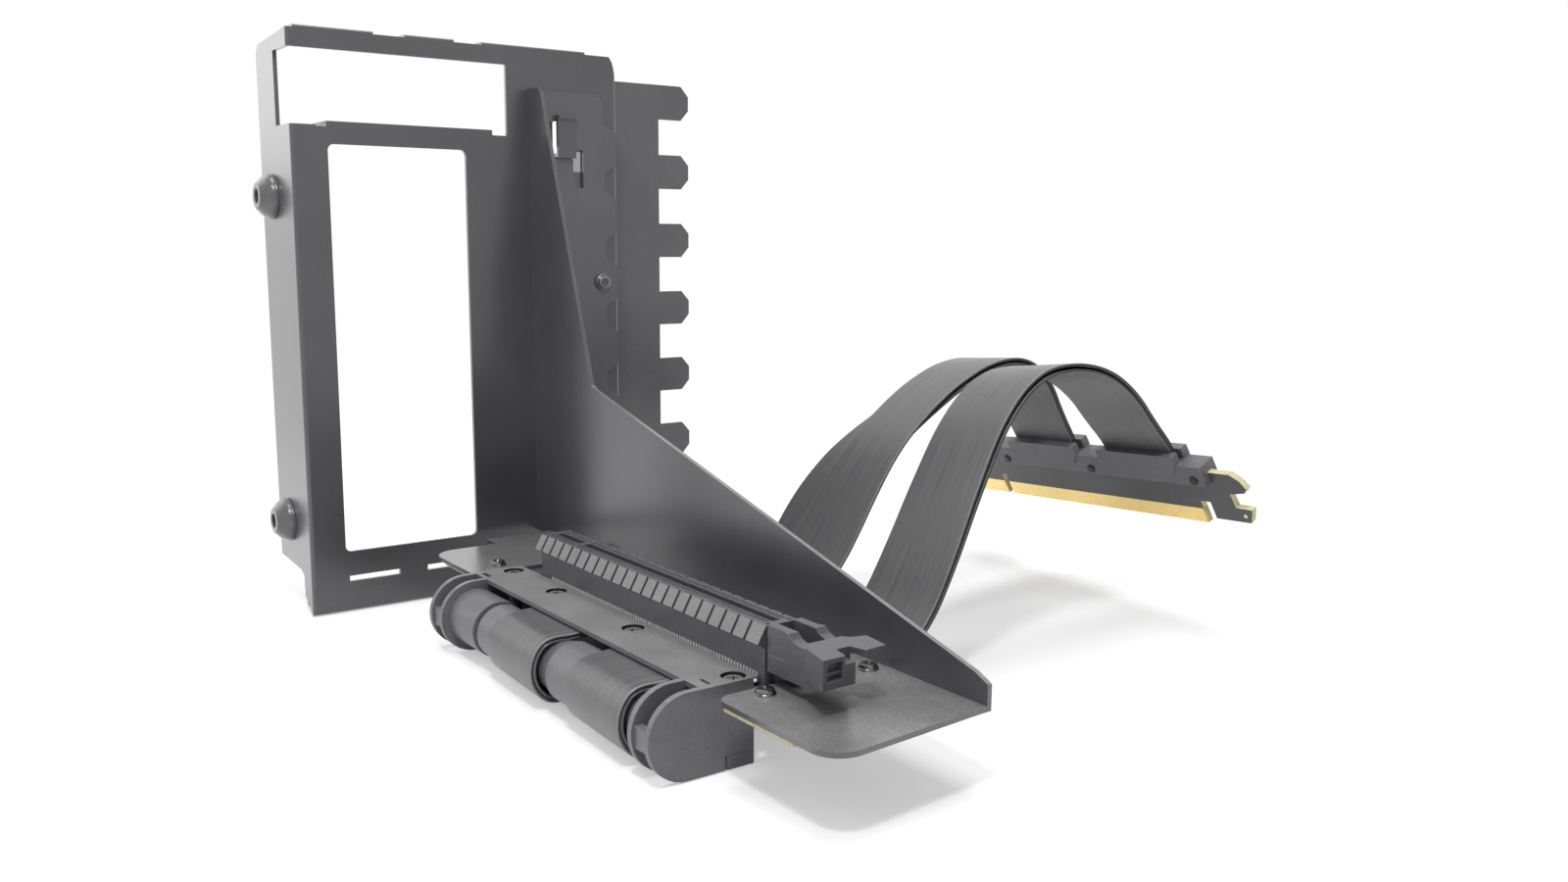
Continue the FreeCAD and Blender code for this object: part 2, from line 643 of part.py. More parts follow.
pad(latch, "front_block", "XY_Plane", "ear_low", "ear_top - ear_low", [
    [("ear_start - 0.6", "sock_mid - sock_half - latch_skin"), ("ear_start", "sock_mid - sock_half - 1.4"),
     ("latch_end", "sock_mid - ear_half"), ("latch_end", "sock_mid - 2.4"),
     ("latch_end - 3.7", "sock_mid - 1.5"), ("latch_end - 3.7", "sock_mid"),
     ("ear_start - 0.6", "sock_mid")]])
pad(latch, "front_keel", "XZ_Plane", "-(sock_mid - sock_half - latch_skin)",
    "sock_half + latch_skin - 0.2", [
    [("ear_start", "latch_low"), ("ear_start + 1", "latch_low"), ("latch_end - 0.4", "ear_low"),
     ("latch_end - 0.4", "ear_low + 0.6"), ("ear_start", "ear_low + 0.6")]], back=True)
pad(latch, "front_end", "XY_Plane", "ear_low", "ear_top - ear_low - ear_thick - 0.3", [
    rect("latch_end - 4", "sock_mid - 3", "latch_end", "sock_mid - 0.2")])
pad(latch, "ears", "XY_Plane", "ear_top - ear_thick", "ear_thick", [
    [("ear_start - 1.6", "sock_mid - sock_half"), ("ear_start - 0.6", "sock_mid - sock_half - 0.9"),
     ("latch_end - 0.2", "sock_mid - ear_half + 0.2"), ("latch_end - 0.4", "sock_mid - 2.4"),
     ("latch_end - 3.7", "sock_mid - 1.5"), ("latch_end - 3.7", "sock_mid + 1.5"),
     ("latch_end - 0.4", "sock_mid + 2.4"), ("latch_end - 0.8", "sock_mid + ear_half - 0.2"),
     ("ear_start + 0.6", "sock_mid + ear_half + 0.6"), ("ear_start - 0.4", "sock_mid + sock_half + 0.9"),
     ("ear_start - 1.6", "sock_mid + sock_half")]])
pocket(latch, "end_recess", "YZ_Plane", "latch_end - 1.3", "1.5", [
    rect("sock_mid - ear_half + 1", "ear_low + 1.3", "sock_mid - 2.9", "ear_top - 0.8")], back=True)
pad(latch, "end_bar", "YZ_Plane", "latch_end - 1.5", "0.9", [
    rect("sock_mid - ear_half + 0.8", "ear_low + 2.3", "sock_mid - 2.7", "ear_low + 2.8")])
pad(latch, "latch_pin", "XZ_Plane", "-(sock_mid - sock_half + 0.4)", "2 * sock_half - 0.8",
    [["circle", "latch_axis_x", "latch_axis_z", "latch_pin_r"]], back=True)
settle(latch)
PIECES.append(latch)

# Riser cover: one moulding, a strip over the ribbons' ends with a pair of rounded cheeks at
# each end; small ribs tie the cheeks of a pair together at the front.
cover = new_body("riser_cover")
pad(cover, "cover_strip", "XY_Plane", "cover_top - cover_thick", "cover_thick", [
    rect("cover_left", "cover_front", "cover_right", "cover_rear"),
    ["circle", "boss_1", "boss_y", "cross_shank_r + hole_slack"],
    ["circle", "boss_2", "boss_y", "cross_shank_r + hole_slack"],
    ["circle", "boss_3", "boss_y", "cross_shank_r + hole_slack"],
    ["circle", "boss_4", "boss_y", "cross_shank_r + hole_slack"],
    rect("cover_left + 1.6", "cover_front + 1.1", "cover_left + 5.6", "cover_front + 2.2"),
    rect("cover_right - 4.6", "cover_front + 2.2", "cover_right - 1.6", "cover_front + 2.9"),
])


def cheek(name, x0, rear, notched):
    """A plate with a half-round front, seen along X."""
    steps = 18
    radius = "cover_top / 2"
    loop = []
    for k in range(steps + 1):
        angle = 90.0 + 180.0 * k / steps
        loop.append(("cheek_y + %s * cos(%.3f deg)" % (radius, angle),
                     "%s + %s * sin(%.3f deg)" % (radius, radius, angle)))
    if notched:
        loop.append(("clamp_front - seam_gap", "0"))
        loop.append(("clamp_front - seam_gap", "clamp_tall + 0.05"))
        loop.append((rear, "clamp_tall + 0.05"))
    else:
        loop.append((rear, "0"))
    loop.append((rear, "cover_top"))
    pad(cover, name, "YZ_Plane", x0, "cheek_thick", [loop])


cheek("left_outer_cheek", "cover_left", "cheek_rear", True)
cheek("left_inner_cheek", "cheek_inner", "clamp_front - 0.3", False)
cheek("right_inner_cheek", "cover_left + cover_right - cheek_inner - cheek_thick",
      "clamp_front - 0.3", False)
cheek("right_outer_cheek", "cover_right - cheek_thick", "cheek_rear", True)
pad(cover, "left_rib", "XY_Plane", "6", "4", [
    rect("cover_left + 0.4", "cheek_y - 7.4", "cheek_inner + 0.4", "cheek_y - 5.6")])
pad(cover, "right_rib", "XY_Plane", "6", "4", [
    rect("cover_left + cover_right - cheek_inner - 0.4", "cheek_y - 7.4",
         "cover_right - 0.4", "cheek_y - 5.6")])
for number in (1, 2, 3, 4):
    pocket(cover, "head_sink_%d" % number, "XY_Plane", "cover_top", "sink_deep", [
        ["circle", "boss_%d" % number, "boss_y", "cross_head_r + sink_slack"]])
settle(cover)
PIECES.append(cover)

# Bottom cover: a thin clamp bar between the outer cheeks, with screw bosses up to the strip and
# a rear wall between the ribbons' upper and lower runs.
clamp = new_body("bottom_cover")
pad(clamp, "clamp_floor_plate", "XY_Plane", "0", "clamp_floor", [
    rect("cover_left", "clamp_front", "cover_right", "cheek_rear")])
pad(clamp, "clamp_left_end", "XY_Plane", "0", "clamp_tall", [
    rect("cover_left", "clamp_front", "cover_left + cheek_thick", "cheek_rear")])
pad(clamp, "clamp_right_end", "XY_Plane", "0", "clamp_tall", [
    rect("cover_right - cheek_thick", "clamp_front", "cover_right", "cheek_rear")])
for number in (1, 2, 3, 4):
    pad(clamp, "boss_%d_post" % number, "XY_Plane", "0", "cover_top - cover_thick", [
        ["circle", "boss_%d" % number, "boss_y", "boss_r"]])
pad(clamp, "clamp_rear_wall", "XY_Plane", "clamp_wall_low", "clamp_wall_high - clamp_wall_low", [
    rect("cover_left + cheek_thick + 0.2", "boss_y + boss_r - 0.2",
         "cover_right - cheek_thick - 0.2", "boss_y + boss_r - 0.2 + clamp_wall")])
for number in (1, 2, 3, 4):
    pocket(clamp, "boss_%d_hole" % number, "XY_Plane", "cover_top - cover_thick", "6", [
        ["circle", "boss_%d" % number, "boss_y", "cross_shank_r + hole_slack"]])
settle(clamp)
PIECES.append(clamp)

# Cover screws: four flat cross-head screws, sunk in the strip and held by the bosses.
screw_set("cover_screws", [
    ("0", "-5"), ("cross_shank_r", "-5"), ("cross_shank_r", "cover_thick - sink_deep"),
    ("cross_head_r", "cover_thick - sink_deep"),
    ("cross_head_r", "cover_thick - sink_deep + cross_head_thick"),
    ("0", "cover_thick - sink_deep + cross_head_thick")],
    [("boss_1", "boss_y"), ("boss_2", "boss_y"), ("boss_3", "boss_y"), ("boss_4", "boss_y")],
    "cover_top - cover_thick")

# Drum: the core between the inner cheeks, with a collar on the left of each ribbon.
drum = new_body("cable_core")
drum_left = "cheek_inner + cheek_thick"
drum_right = "cover_left + cover_right - cheek_inner - cheek_thick"
turn(drum, "drum", "XZ_Plane", "0", [
    (drum_left, "0"), (drum_left, "collar_r - 0.4"), ("drum_groove", "collar_r - 0.4"),
    ("drum_groove", "drum_r"), ("drum_groove + drum_groove_w", "drum_r"),
    ("drum_groove + drum_groove_w", "collar_r"),
    ("ribbon_left_x - ribbon_w / 2 - 0.4", "collar_r"), ("ribbon_left_x - ribbon_w / 2 - 0.4", "drum_r"),
    ("ribbon_left_x + ribbon_w / 2 + 3.4", "drum_r"), ("ribbon_left_x + ribbon_w / 2 + 3.4", "collar_r"),
    ("ribbon_right_x - ribbon_w / 2 - 0.4", "collar_r"), ("ribbon_right_x - ribbon_w / 2 - 0.4", "drum_r"),
    (drum_right, "drum_r"), (drum_right, "0")], "H_Axis")
settle(drum, "0", "cheek_y", "cover_top / 2")
PIECES.append(drum)

# Plug frame: u runs along the gold fingers, v up to the cable exits, n out of the shown face.
yaw = math.radians(val("plug_yaw"))
roll = math.radians(val("plug_roll"))
lean = math.radians(val("plug_lean"))
u_dir = Vector(math.cos(yaw) * math.cos(roll), math.sin(yaw), -math.sin(roll)).normalize()
v_raw = Vector(-0.1, -math.sin(lean), math.cos(lean))
n_dir = u_dir.cross(v_raw).normalize()
v_dir = n_dir.cross(u_dir).normalize()
plug_turn = FreeCAD.Rotation(u_dir, v_dir, n_dir, "ZXY")
plug_base = Vector(val("plug_x"), val("plug_y"), val("plug_z"))


def plug_point(u, v, n):
    return plug_base + u_dir * u + v_dir * v + n_dir * n


def settle_plug(thing):
    shift = Vector(val("origin_x"), val("origin_y"), 0)
    thing.Placement = FreeCAD.Placement(plug_base - shift, plug_turn)


# Ribbons: two flat cables, each a stack of two layers. Each one starts at the board's front
# edge, turns round the drum, runs back along the floor, rises behind the shelf and arches
# over to the plug, while its width turns from the drum's direction to the plug's.
def ribbon(name, middle, exit_u, rise):
    width = val("ribbon_w")
    thick = val("ribbon_thick")
    radius = val("ribbon_turn")
    middle = val(middle)
    axis_y = val("cheek_y")
    axis_z = val("cover_top") / 2
    corner = radius * math.tan(math.radians(22.5))
    # route points: straight at first, an octagon's corners round the drum, then the free run
    flat = [
        (val("board_cut"), axis_z + radius), (axis_y - corner, axis_z + radius),
        (axis_y - radius, axis_z + corner), (axis_y - radius, axis_z - corner),
        (axis_y - corner, axis_z - radius), (30.0, axis_z - radius + 0.05),
        (48.0, axis_z - radius + 0.5), (val("ribbon_flat_y"), axis_z - radius + 2.4),
    ]
    end_high = plug_point(exit_u, val("block_top") + 0.2, 0)
    end_low = plug_point(exit_u, val("plug_board_top"), 0)
    route = [Vector(middle, y, z) for y, z in flat]
    turned_from = len(route) - 1
    reach = end_high.y - val("ribbon_flat_y")
    for y, z in rise:
        drift = (end_high.x - middle) * (y - val("ribbon_flat_y")) / reach
        route.append(Vector(middle + drift, y, z))
    route.append(end_high)
    route.append(end_low)
    # straight runs joined by tangent arcs as large as the runs allow
    edges = []
    radii = []
    here = route[0]
    free_start = 0.0
    for k in range(1, len(route) - 1):
        run_in = route[k] - route[k - 1]
        run_out = route[k + 1] - route[k]
        turn_angle = run_in.getAngle(run_out)
        reach_back = 0.45 * min(run_in.Length, run_out.Length)
        bend = reach_back / math.tan(turn_angle / 2)
        radii.append(bend)
        arc_in = route[k] - Vector(run_in).normalize() * reach_back
        arc_out = route[k] + Vector(run_out).normalize() * reach_back
        inward = (Vector(run_out).normalize() - Vector(run_in).normalize()).normalize()
        middle_point = route[k] + inward * (bend / math.cos(turn_angle / 2) - bend)
        edges.append(Part.LineSegment(here, arc_in).toShape())
        edges.append(Part.Arc(arc_in, middle_point, arc_out).toShape())
        here = arc_out
        if k <= turned_from:
            free_start = sum(edge.Length for edge in edges)
    edges.append(Part.LineSegment(here, route[-1]).toShape())
    full = sum(edge.Length for edge in edges)
    # flat sections set along the path and joined one after the other
    sections = []
    walked = 0.0
    for edge in edges:
        straight = edge.Curve.TypeId == "Part::GeomLine"
        steps = 1 if straight else 5
        first = 0 if not sections else 1
        for k in range(first, steps + 1):
            along = edge.FirstParameter + (edge.LastParameter - edge.FirstParameter) * k / steps
            spot = edge.valueAt(along)
            ahead = edge.tangentAt(along)
            share = max(0.0, (walked + edge.Length * k / steps - free_start) / (full - free_start))
            share = share * share * (3 - 2 * share)
            across = Vector(1, 0, 0) * (1 - share) + u_dir * share
            across = (across - ahead * across.dot(ahead)).normalize()
            up = across.cross(ahead).normalize()
            loop = []
            for side, face in ((-1, -1), (1, -1), (1, 1), (-1, 1)):
                loop.append(spot + across * (side * width / 2) + up * (face * thick / 2))
            sections.append(Part.makePolygon(loop + [loop[0]]))
        walked += edge.Length
    solid = Part.makeLoft(sections, True, True)
    thing = doc.addObject("Part::Feature", name)
    thing.Label = name
    thing.Shape = solid
    settle(thing)
    PIECES.append(thing)
    print("%s length %.1f volume share %.4f" % (name, full, solid.Volume / (width * thick * full)))
    print("%s radii %s" % (name, " ".join("%.0f" % bend for bend in radii)))
    for spot in route:
        print("%s route %.2f %.2f %.2f" % (name, spot.x, spot.y, spot.z))


ribbon("ribbon_left", "ribbon_left_x", val("exit_left"), [
    (80.0, 9.4), (92.0, 20.0), (103.0, 34.2), (114.0, 46.4), (125.5, 56.2), (137.0, 63.0),
    (148.0, 65.2), (158.0, 61.7), (166.2, 52.8)])
ribbon("ribbon_right", "ribbon_right_x", val("exit_right"), [
    (78.0, 8.6), (88.0, 18.0), (95.4, 28.0), (102.3, 40.0), (110.8, 55.0), (121.0, 64.4),
    (133.0, 67.1), (146.0, 63.2), (156.5, 56.0), (164.2, 50.0)])

# Plug board: carries the gold fingers, with a hook-shaped end beside the long row.
plug_board = new_body("plug_pcb")
pad(plug_board, "plug_plate", "XY_Plane", "-plug_board / 2", "plug_board", [
    [("gold_left", "0"), ("-gold_key", "0"), ("-gold_key", "6.6"), ("0", "6.6"), ("0", "0"),
     ("gold_right", "0"), ("gold_right", "6.4"), ("gold_right + 3", "6.4"), ("gold_right + 3", "1.6"),
     ("gold_right + 13.3", "1.6"), ("gold_right + 15", "5.5"), ("gold_right + 10.4", "5.7"),
     ("gold_right + 10.1", "9.5"), ("gold_right + 14.6", "10.3"), ("gold_right + 15.6", "11.5"),
     ("gold_right + 14.4", "13.6"), ("gold_right + 12", "plug_board_top"),
     ("gold_left + 2", "plug_board_top"), ("gold_left", "plug_board_top - 2")],
    ["circle", "pin_1", "pin_v", "pin_r + hole_slack"],
    ["circle", "pin_2", "pin_v", "pin_r + hole_slack"],
    ["circle", "pin_3", "pin_v", "pin_r + hole_slack"],
])
settle_plug(plug_board)
PIECES.append(plug_board)

# Gold fingers: a plated row on each side of the board, split by the key.
gold_boxes = []
for x0, x1, tag in (("gold_left + 0.3", "-gold_key - 0.3", "short"),
                    ("0.3", "gold_right - 0.3", "long")):
    for z0, side in (("plug_board / 2", "front"), ("-plug_board / 2 - gold_thick", "back")):
        box = doc.addObject("Part::Box", "gold_%s_%s" % (tag, side))
        box.setExpression("Length", bound("(%s) - (%s)" % (x1, x0)))
        box.setExpression("Width", bound("gold_tall - 0.3"))
        box.setExpression("Height", bound("gold_thick"))
        box.setExpression("Placement.Base.x", bound(x0))
        box.setExpression("Placement.Base.y", "0.3")
        box.setExpression("Placement.Base.z", bound(z0))
        gold_boxes.append(box)
gold = doc.addObject("Part::Compound", "plug_fingers")
gold.Label = "plug_fingers"
gold.Links = gold_boxes
doc.recompute()
settle_plug(gold)
PIECES.append(gold)

# Plug shells: two halves over the board's upper edge, with raised blocks round the cables.
def shell_half(name, sign):
    body = new_body(name)
    blocks = [
        ("shell_left", "shell_low"), ("shell_right", "shell_low"), ("shell_right", "shell_top"),
        ("exit_right + ribbon_w / 2 + 1.6", "shell_top"), ("exit_right + ribbon_w / 2 + 1.6", "block_top"),
        ("exit_right - ribbon_w / 2 - 1.6", "block_top"), ("exit_right - ribbon_w / 2 - 1.6", "shell_top"),
        ("exit_left + ribbon_w / 2 + 1.6", "shell_top"), ("exit_left + ribbon_w / 2 + 1.6", "block_top"),
        ("exit_left - ribbon_w / 2 - 1.6", "block_top"), ("exit_left - ribbon_w / 2 - 1.6", "shell_top"),
        ("shell_left", "shell_top")]
    pins = [["circle", "pin_%d" % k, "pin_v", "pin_r + hole_slack"] for k in (1, 2, 3)]
    skin = "plug_board / 2"
    low = skin if sign > 0 else "-(%s)" % skin
    pad(body, name + "_plate", "XY_Plane", low, "shell_half - panel_step - (%s)" % skin,
        [blocks] + pins, back=sign < 0)
    for number, middle in enumerate(("exit_left", "exit_right")):
        pad(body, "%s_panel_%d" % (name, number), "XY_Plane", low, "shell_half - (%s)" % skin, [
            [("%s - ribbon_w / 2 - 3.6" % middle, "panel_low"),
             ("%s + ribbon_w / 2 - 0.4" % middle, "panel_low"),
             ("%s + ribbon_w / 2 + 1.6" % middle, "shell_top"),
             ("%s + ribbon_w / 2 + 1.6" % middle, "block_top"),
             ("%s - ribbon_w / 2 - 1.6" % middle, "block_top"),
             ("%s - ribbon_w / 2 - 1.6" % middle, "shell_top")]], back=sign < 0)
    rims = [
        ("shell_left", "exit_left - ribbon_w / 2 - exit_slack", "exit_left - ribbon_w / 2 - 1.6"),
        ("exit_left + ribbon_w / 2 + exit_slack", "exit_right - ribbon_w / 2 - exit_slack", None),
        ("exit_right + ribbon_w / 2 + exit_slack", "shell_right", "exit_right + ribbon_w / 2 + 1.6"),
    ]
    for number, (u0, u1, step) in enumerate(rims):
        pad(body, "%s_rim_%d" % (name, number), "XY_Plane", "0", skin,
            [rect(u0, "plug_board_top", u1, "shell_top")], back=sign < 0)
    settle_plug(body)
    PIECES.append(body)


shell_half("plug_front_shell", 1)
shell_half("plug_back_shell", -1)

# Plug pins: three pins that pass through both halves and the board.
plug_pin_bodies = []
for number in (1, 2, 3):
    body = new_body("plug_pin_%d" % number)
    pad(body, "plug_pin_%d_rod" % number, "XY_Plane", "-shell_half", "2 * shell_half", [
        ["circle", "pin_%d" % number, "pin_v", "pin_r"]])
    plug_pin_bodies.append(body)
plug_pins = doc.addObject("Part::Compound", "plug_pins")
plug_pins.Label = "plug_pins"
plug_pins.Links = plug_pin_bodies
doc.recompute()
settle_plug(plug_pins)
PIECES.append(plug_pins)

doc.recompute()
for thing in doc.Objects:
    if "Invalid" in thing.State or "Error" in thing.State:
        raise RuntimeError("%s is %s" % (thing.Name, thing.State))
os.makedirs("parts", exist_ok=True)
for piece in PIECES:
    if piece.Shape.isNull() or not piece.Shape.isValid():
        raise RuntimeError("%s has no valid shape" % piece.Label)
    piece.Shape.exportStep("parts/%s.step" % piece.Label)
    box = piece.Shape.BoundBox
    print("%-20s %9.1f mm3  X %.2f %.2f  Y %.2f %.2f  Z %.2f %.2f" % (
        piece.Label, piece.Shape.Volume, box.XMin, box.XMax, box.YMin, box.YMax, box.ZMin, box.ZMax))
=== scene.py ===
import math

import bmesh
import bpy
from mathutils import Matrix, Vector


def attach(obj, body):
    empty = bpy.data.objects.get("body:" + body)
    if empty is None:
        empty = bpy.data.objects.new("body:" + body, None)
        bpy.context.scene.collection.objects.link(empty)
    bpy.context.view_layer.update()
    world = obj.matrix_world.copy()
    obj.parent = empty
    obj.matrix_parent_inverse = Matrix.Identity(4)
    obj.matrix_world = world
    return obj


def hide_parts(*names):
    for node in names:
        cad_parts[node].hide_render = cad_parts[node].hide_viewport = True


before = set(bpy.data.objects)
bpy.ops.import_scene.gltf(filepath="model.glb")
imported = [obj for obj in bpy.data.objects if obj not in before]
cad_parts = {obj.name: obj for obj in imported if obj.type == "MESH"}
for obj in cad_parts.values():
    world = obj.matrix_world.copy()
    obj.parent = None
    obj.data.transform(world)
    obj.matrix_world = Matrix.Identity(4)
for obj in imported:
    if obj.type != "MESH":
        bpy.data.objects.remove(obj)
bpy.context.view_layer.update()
scene = bpy.context.scene


# Camera: a short lens a hand's width above the table, in front of the shelf's free end.
# It looks along the riser to the frame, so the ribbons and plug show behind on the right.
eye = Vector((0.248366, -0.154342, 0.094244))
turn, dip, tilt = math.radians(143.54), math.radians(-8.84), math.radians(0.39)
ahead = Vector((math.cos(dip) * math.cos(turn), math.cos(dip) * math.sin(turn), math.sin(dip)))
level = ahead.cross(Vector((0, 0, 1))).normalized()
upward = level.cross(ahead)
right = level * math.cos(tilt) + upward * math.sin(tilt)
top = upward * math.cos(tilt) - level * math.sin(tilt)
lens = bpy.data.cameras.new("table_view")
lens.sensor_fit = "HORIZONTAL"
lens.sensor_width = 36.0
lens.lens = 30.185
lens.clip_start = 0.005
camera = bpy.data.objects.new("table_view", lens)
camera.matrix_world = Matrix.Translation(eye) @ Matrix((right, top, -ahead)).transposed().to_4x4()
scene.collection.objects.link(camera)
scene.camera = camera


# Table and light: a plain white top that runs out of sight, under a soft lamp overhead, a wider
# one on the far left, a small one above the camera, and a white room that is dimmer behind the
# camera. The eye sees shadows on the table near the object and plain white farther off.
scene.view_settings.view_transform = "Standard"
TABLE_REACH = 6.0
TABLE_LEVEL = -0.0002  # just under the foot, so the two don't share a plane
LAMPS_AIM = Vector((0, 0, 0.05))


def mesh_piece(name, verts, faces, materials):
    """A new mesh object at the origin, with its place in its vertices."""
    mesh = bpy.data.meshes.new(name)
    mesh.from_pydata(verts, [], faces)
    for material in materials:
        mesh.materials.append(material)
    piece = bpy.data.objects.new(name, mesh)
    scene.collection.objects.link(piece)
    return piece


def add_node(tree, kind, values=None, operation=None):
    """A new node in a tree, with some of its inputs set by name or number."""
    made = tree.nodes.new(kind)
    if operation:
        made.operation = operation
    for label, value in (values or {}).items():
        made.inputs[label].default_value = value
    return made


def wire(tree, *pairs):
    """Joins sockets of a tree, each pair from an output to an input."""
    for source, target in pairs:
        tree.links.new(source, target)


def seen_ray(tree):
    """1 where the eye, a reflection or clear glass looks straight at the surface."""
    path = add_node(tree, "ShaderNodeLightPath")
    seen = path.outputs["Is Camera Ray"]
    for label in ("Is Glossy Ray", "Is Transmission Ray"):
        join = add_node(tree, "ShaderNodeMath", operation="MAXIMUM")
        wire(tree, (seen, join.inputs[0]), (path.outputs[label], join.inputs[1]))
        seen = join.outputs[0]
    return seen


table_white = bpy.data.materials.new("table_white")
table_white.use_nodes = True
tree = table_white.node_tree
tree.nodes.clear()
unseen = add_node(tree, "ShaderNodeBsdfDiffuse", {"Color": (0.8, 0.8, 0.8, 1)})
lit = add_node(tree, "ShaderNodeBsdfDiffuse", {"Color": (0.7, 0.7, 0.71, 1)})
glow = add_node(tree, "ShaderNodeEmission", {"Strength": 0.42})
near = add_node(tree, "ShaderNodeAddShader")
far = add_node(tree, "ShaderNodeEmission")
spot = add_node(tree, "ShaderNodeTexCoord")
reach = add_node(tree, "ShaderNodeVectorMath", operation="LENGTH")
fade = add_node(tree, "ShaderNodeMapRange", {"From Min": 0.2, "From Max": 0.5})
fade.interpolation_type = "SMOOTHSTEP"
seen = add_node(tree, "ShaderNodeMixShader")
pick = add_node(tree, "ShaderNodeMixShader")
out = add_node(tree, "ShaderNodeOutputMaterial")
wire(tree, (spot.outputs["Object"], reach.inputs[0]), (reach.outputs["Value"], fade.inputs["Value"]),
     (lit.outputs[0], near.inputs[0]), (glow.outputs[0], near.inputs[1]),
     (fade.outputs[0], seen.inputs[0]), (near.outputs[0], seen.inputs[1]), (far.outputs[0], seen.inputs[2]),
     (seen_ray(tree), pick.inputs[0]), (unseen.outputs[0], pick.inputs[1]),
     (seen.outputs[0], pick.inputs[2]), (pick.outputs[0], out.inputs["Surface"]))
corners = [(x * TABLE_REACH, y * TABLE_REACH, TABLE_LEVEL) for x, y in ((-1, -1), (1, -1), (1, 1), (-1, 1))]
table = mesh_piece("table_top", corners, [(0, 1, 2, 3)], [table_white])

room = bpy.data.worlds.new("white_room")
scene.world = room
room.use_nodes = True
tree = room.node_tree
tree.nodes.clear()
aim = add_node(tree, "ShaderNodeTexCoord")
share = add_node(tree, "ShaderNodeSeparateXYZ")
dimmer = add_node(tree, "ShaderNodeMapRange",
                  {"From Min": -0.1, "From Max": 1.0, "To Min": 0.52, "To Max": 0.24})
walls = add_node(tree, "ShaderNodeBackground", {"Color": (1, 1, 1, 1)})
white = add_node(tree, "ShaderNodeBackground", {"Color": (1, 1, 1, 1)})
pick = add_node(tree, "ShaderNodeMixShader")
out = add_node(tree, "ShaderNodeOutputWorld")
wire(tree, (aim.outputs["Generated"], share.inputs[0]), (share.outputs["X"], dimmer.inputs["Value"]),
     (dimmer.outputs[0], walls.inputs["Strength"]), (seen_ray(tree), pick.inputs[0]),
     (walls.outputs[0], pick.inputs[1]), (white.outputs[0], pick.inputs[2]),
     (pick.outputs[0], out.inputs["Surface"]))

for name, place, size, power in (
        ("ceiling_lamp", (0.0, 0.06, 1.3), 0.6, 7.0), ("left_lamp", (-0.85, -0.6, 0.6), 1.0, 3.4),
        ("near_lamp", (0.2, -0.16, 0.42), 0.05, 0.85)):
    lamp = bpy.data.lights.new(name, "AREA")
    lamp.size = size
    lamp.energy = power
    stand = bpy.data.objects.new(name, lamp)
    stand.location = place
    stand.rotation_euler = (LAMPS_AIM - Vector(place)).to_track_quat("-Z", "Y").to_euler()
    scene.collection.objects.link(stand)


# Slot frame: one sheet of 1 mm steel, blanked and folded into the upright with its windows,
# flanges and comb, then powder coated. Its face is painted darker, a painted shade, and its eased
# cut edges paler, a painted highlight.
CUT_EDGE = 0.0002
SHARP = math.radians(35)  # edges sharper than this are eased
FLAT = 0.9  # a face is flat to an axis when this much of its normal lies along it
BEHIND_FACE = -0.078  # the upright face is in front of this X, the comb and the lips behind it

fine_grain = bpy.data.node_groups.new("fine_grain", "ShaderNodeTree")
for label, start in (("Fleck Scale", 4000.0), ("Patch Scale", 60.0)):
    knob = fine_grain.interface.new_socket(name=label, in_out="INPUT", socket_type="NodeSocketFloat")
    knob.default_value = start
for label in ("Fleck", "Patch"):
    fine_grain.interface.new_socket(name=label, in_out="OUTPUT", socket_type="NodeSocketFloat")
way_in = add_node(fine_grain, "NodeGroupInput")
way_out = add_node(fine_grain, "NodeGroupOutput")
place = add_node(fine_grain, "ShaderNodeTexCoord")
for label, detail in (("Fleck", 2.0), ("Patch", 4.0)):
    noise = add_node(fine_grain, "ShaderNodeTexNoise", {"Detail": detail})
    wire(fine_grain, (place.outputs["Object"], noise.inputs["Vector"]),
         (way_in.outputs[label + " Scale"], noise.inputs["Scale"]), (noise.outputs[0], way_out.inputs[label]))


def ramp(tree, low, dark, high, light):
    """A colour ramp from a dark tone at low to a light one at high."""
    made = add_node(tree, "ShaderNodeValToRGB")
    for stop, place, tone in zip(made.color_ramp.elements, (low, high), (dark, light)):
        stop.position = place
        stop.color = (*tone, 1)
    return made


def grained(name, dark, light, rough, fleck, patch, relief, metal=0.0, coat=0.0):
    """A material whose tone drifts in patches and whose surface has a fine even grain.

    Fleck and patch are the scales of the grain and of the drift, and relief is the grain's height."""
    made = bpy.data.materials.new(name)
    made.use_nodes = True
    tree = made.node_tree
    body = tree.nodes["Principled BSDF"]
    body.inputs["Metallic"].default_value = metal
    body.inputs["Coat Weight"].default_value = coat
    body.inputs["Coat Roughness"].default_value = rough[0]
    grain = add_node(tree, "ShaderNodeGroup")
    grain.node_tree = fine_grain
    grain.inputs["Fleck Scale"].default_value = fleck
    grain.inputs["Patch Scale"].default_value = patch
    half = add_node(tree, "ShaderNodeMath", {1: 0.5}, "MULTIPLY")
    blend = add_node(tree, "ShaderNodeMath", {1: 0.5}, "MULTIPLY_ADD")
    tone = ramp(tree, 0.3, dark, 0.7, light)
    gloss = add_node(tree, "ShaderNodeMapRange", {"To Min": rough[0], "To Max": rough[1]})
    bump = add_node(tree, "ShaderNodeBump", {"Strength": 0.4, "Distance": relief})
    wire(tree, (grain.outputs["Patch"], half.inputs[0]), (grain.outputs["Fleck"], blend.inputs[0]),
         (half.outputs[0], blend.inputs[2]), (blend.outputs[0], tone.inputs[0]),
         (tone.outputs[0], body.inputs["Base Color"]), (grain.outputs["Patch"], gloss.inputs["Value"]),
         (gloss.outputs[0], body.inputs["Roughness"]), (grain.outputs["Fleck"], bump.inputs["Height"]),
         (bump.outputs[0], body.inputs["Normal"]))
    return made


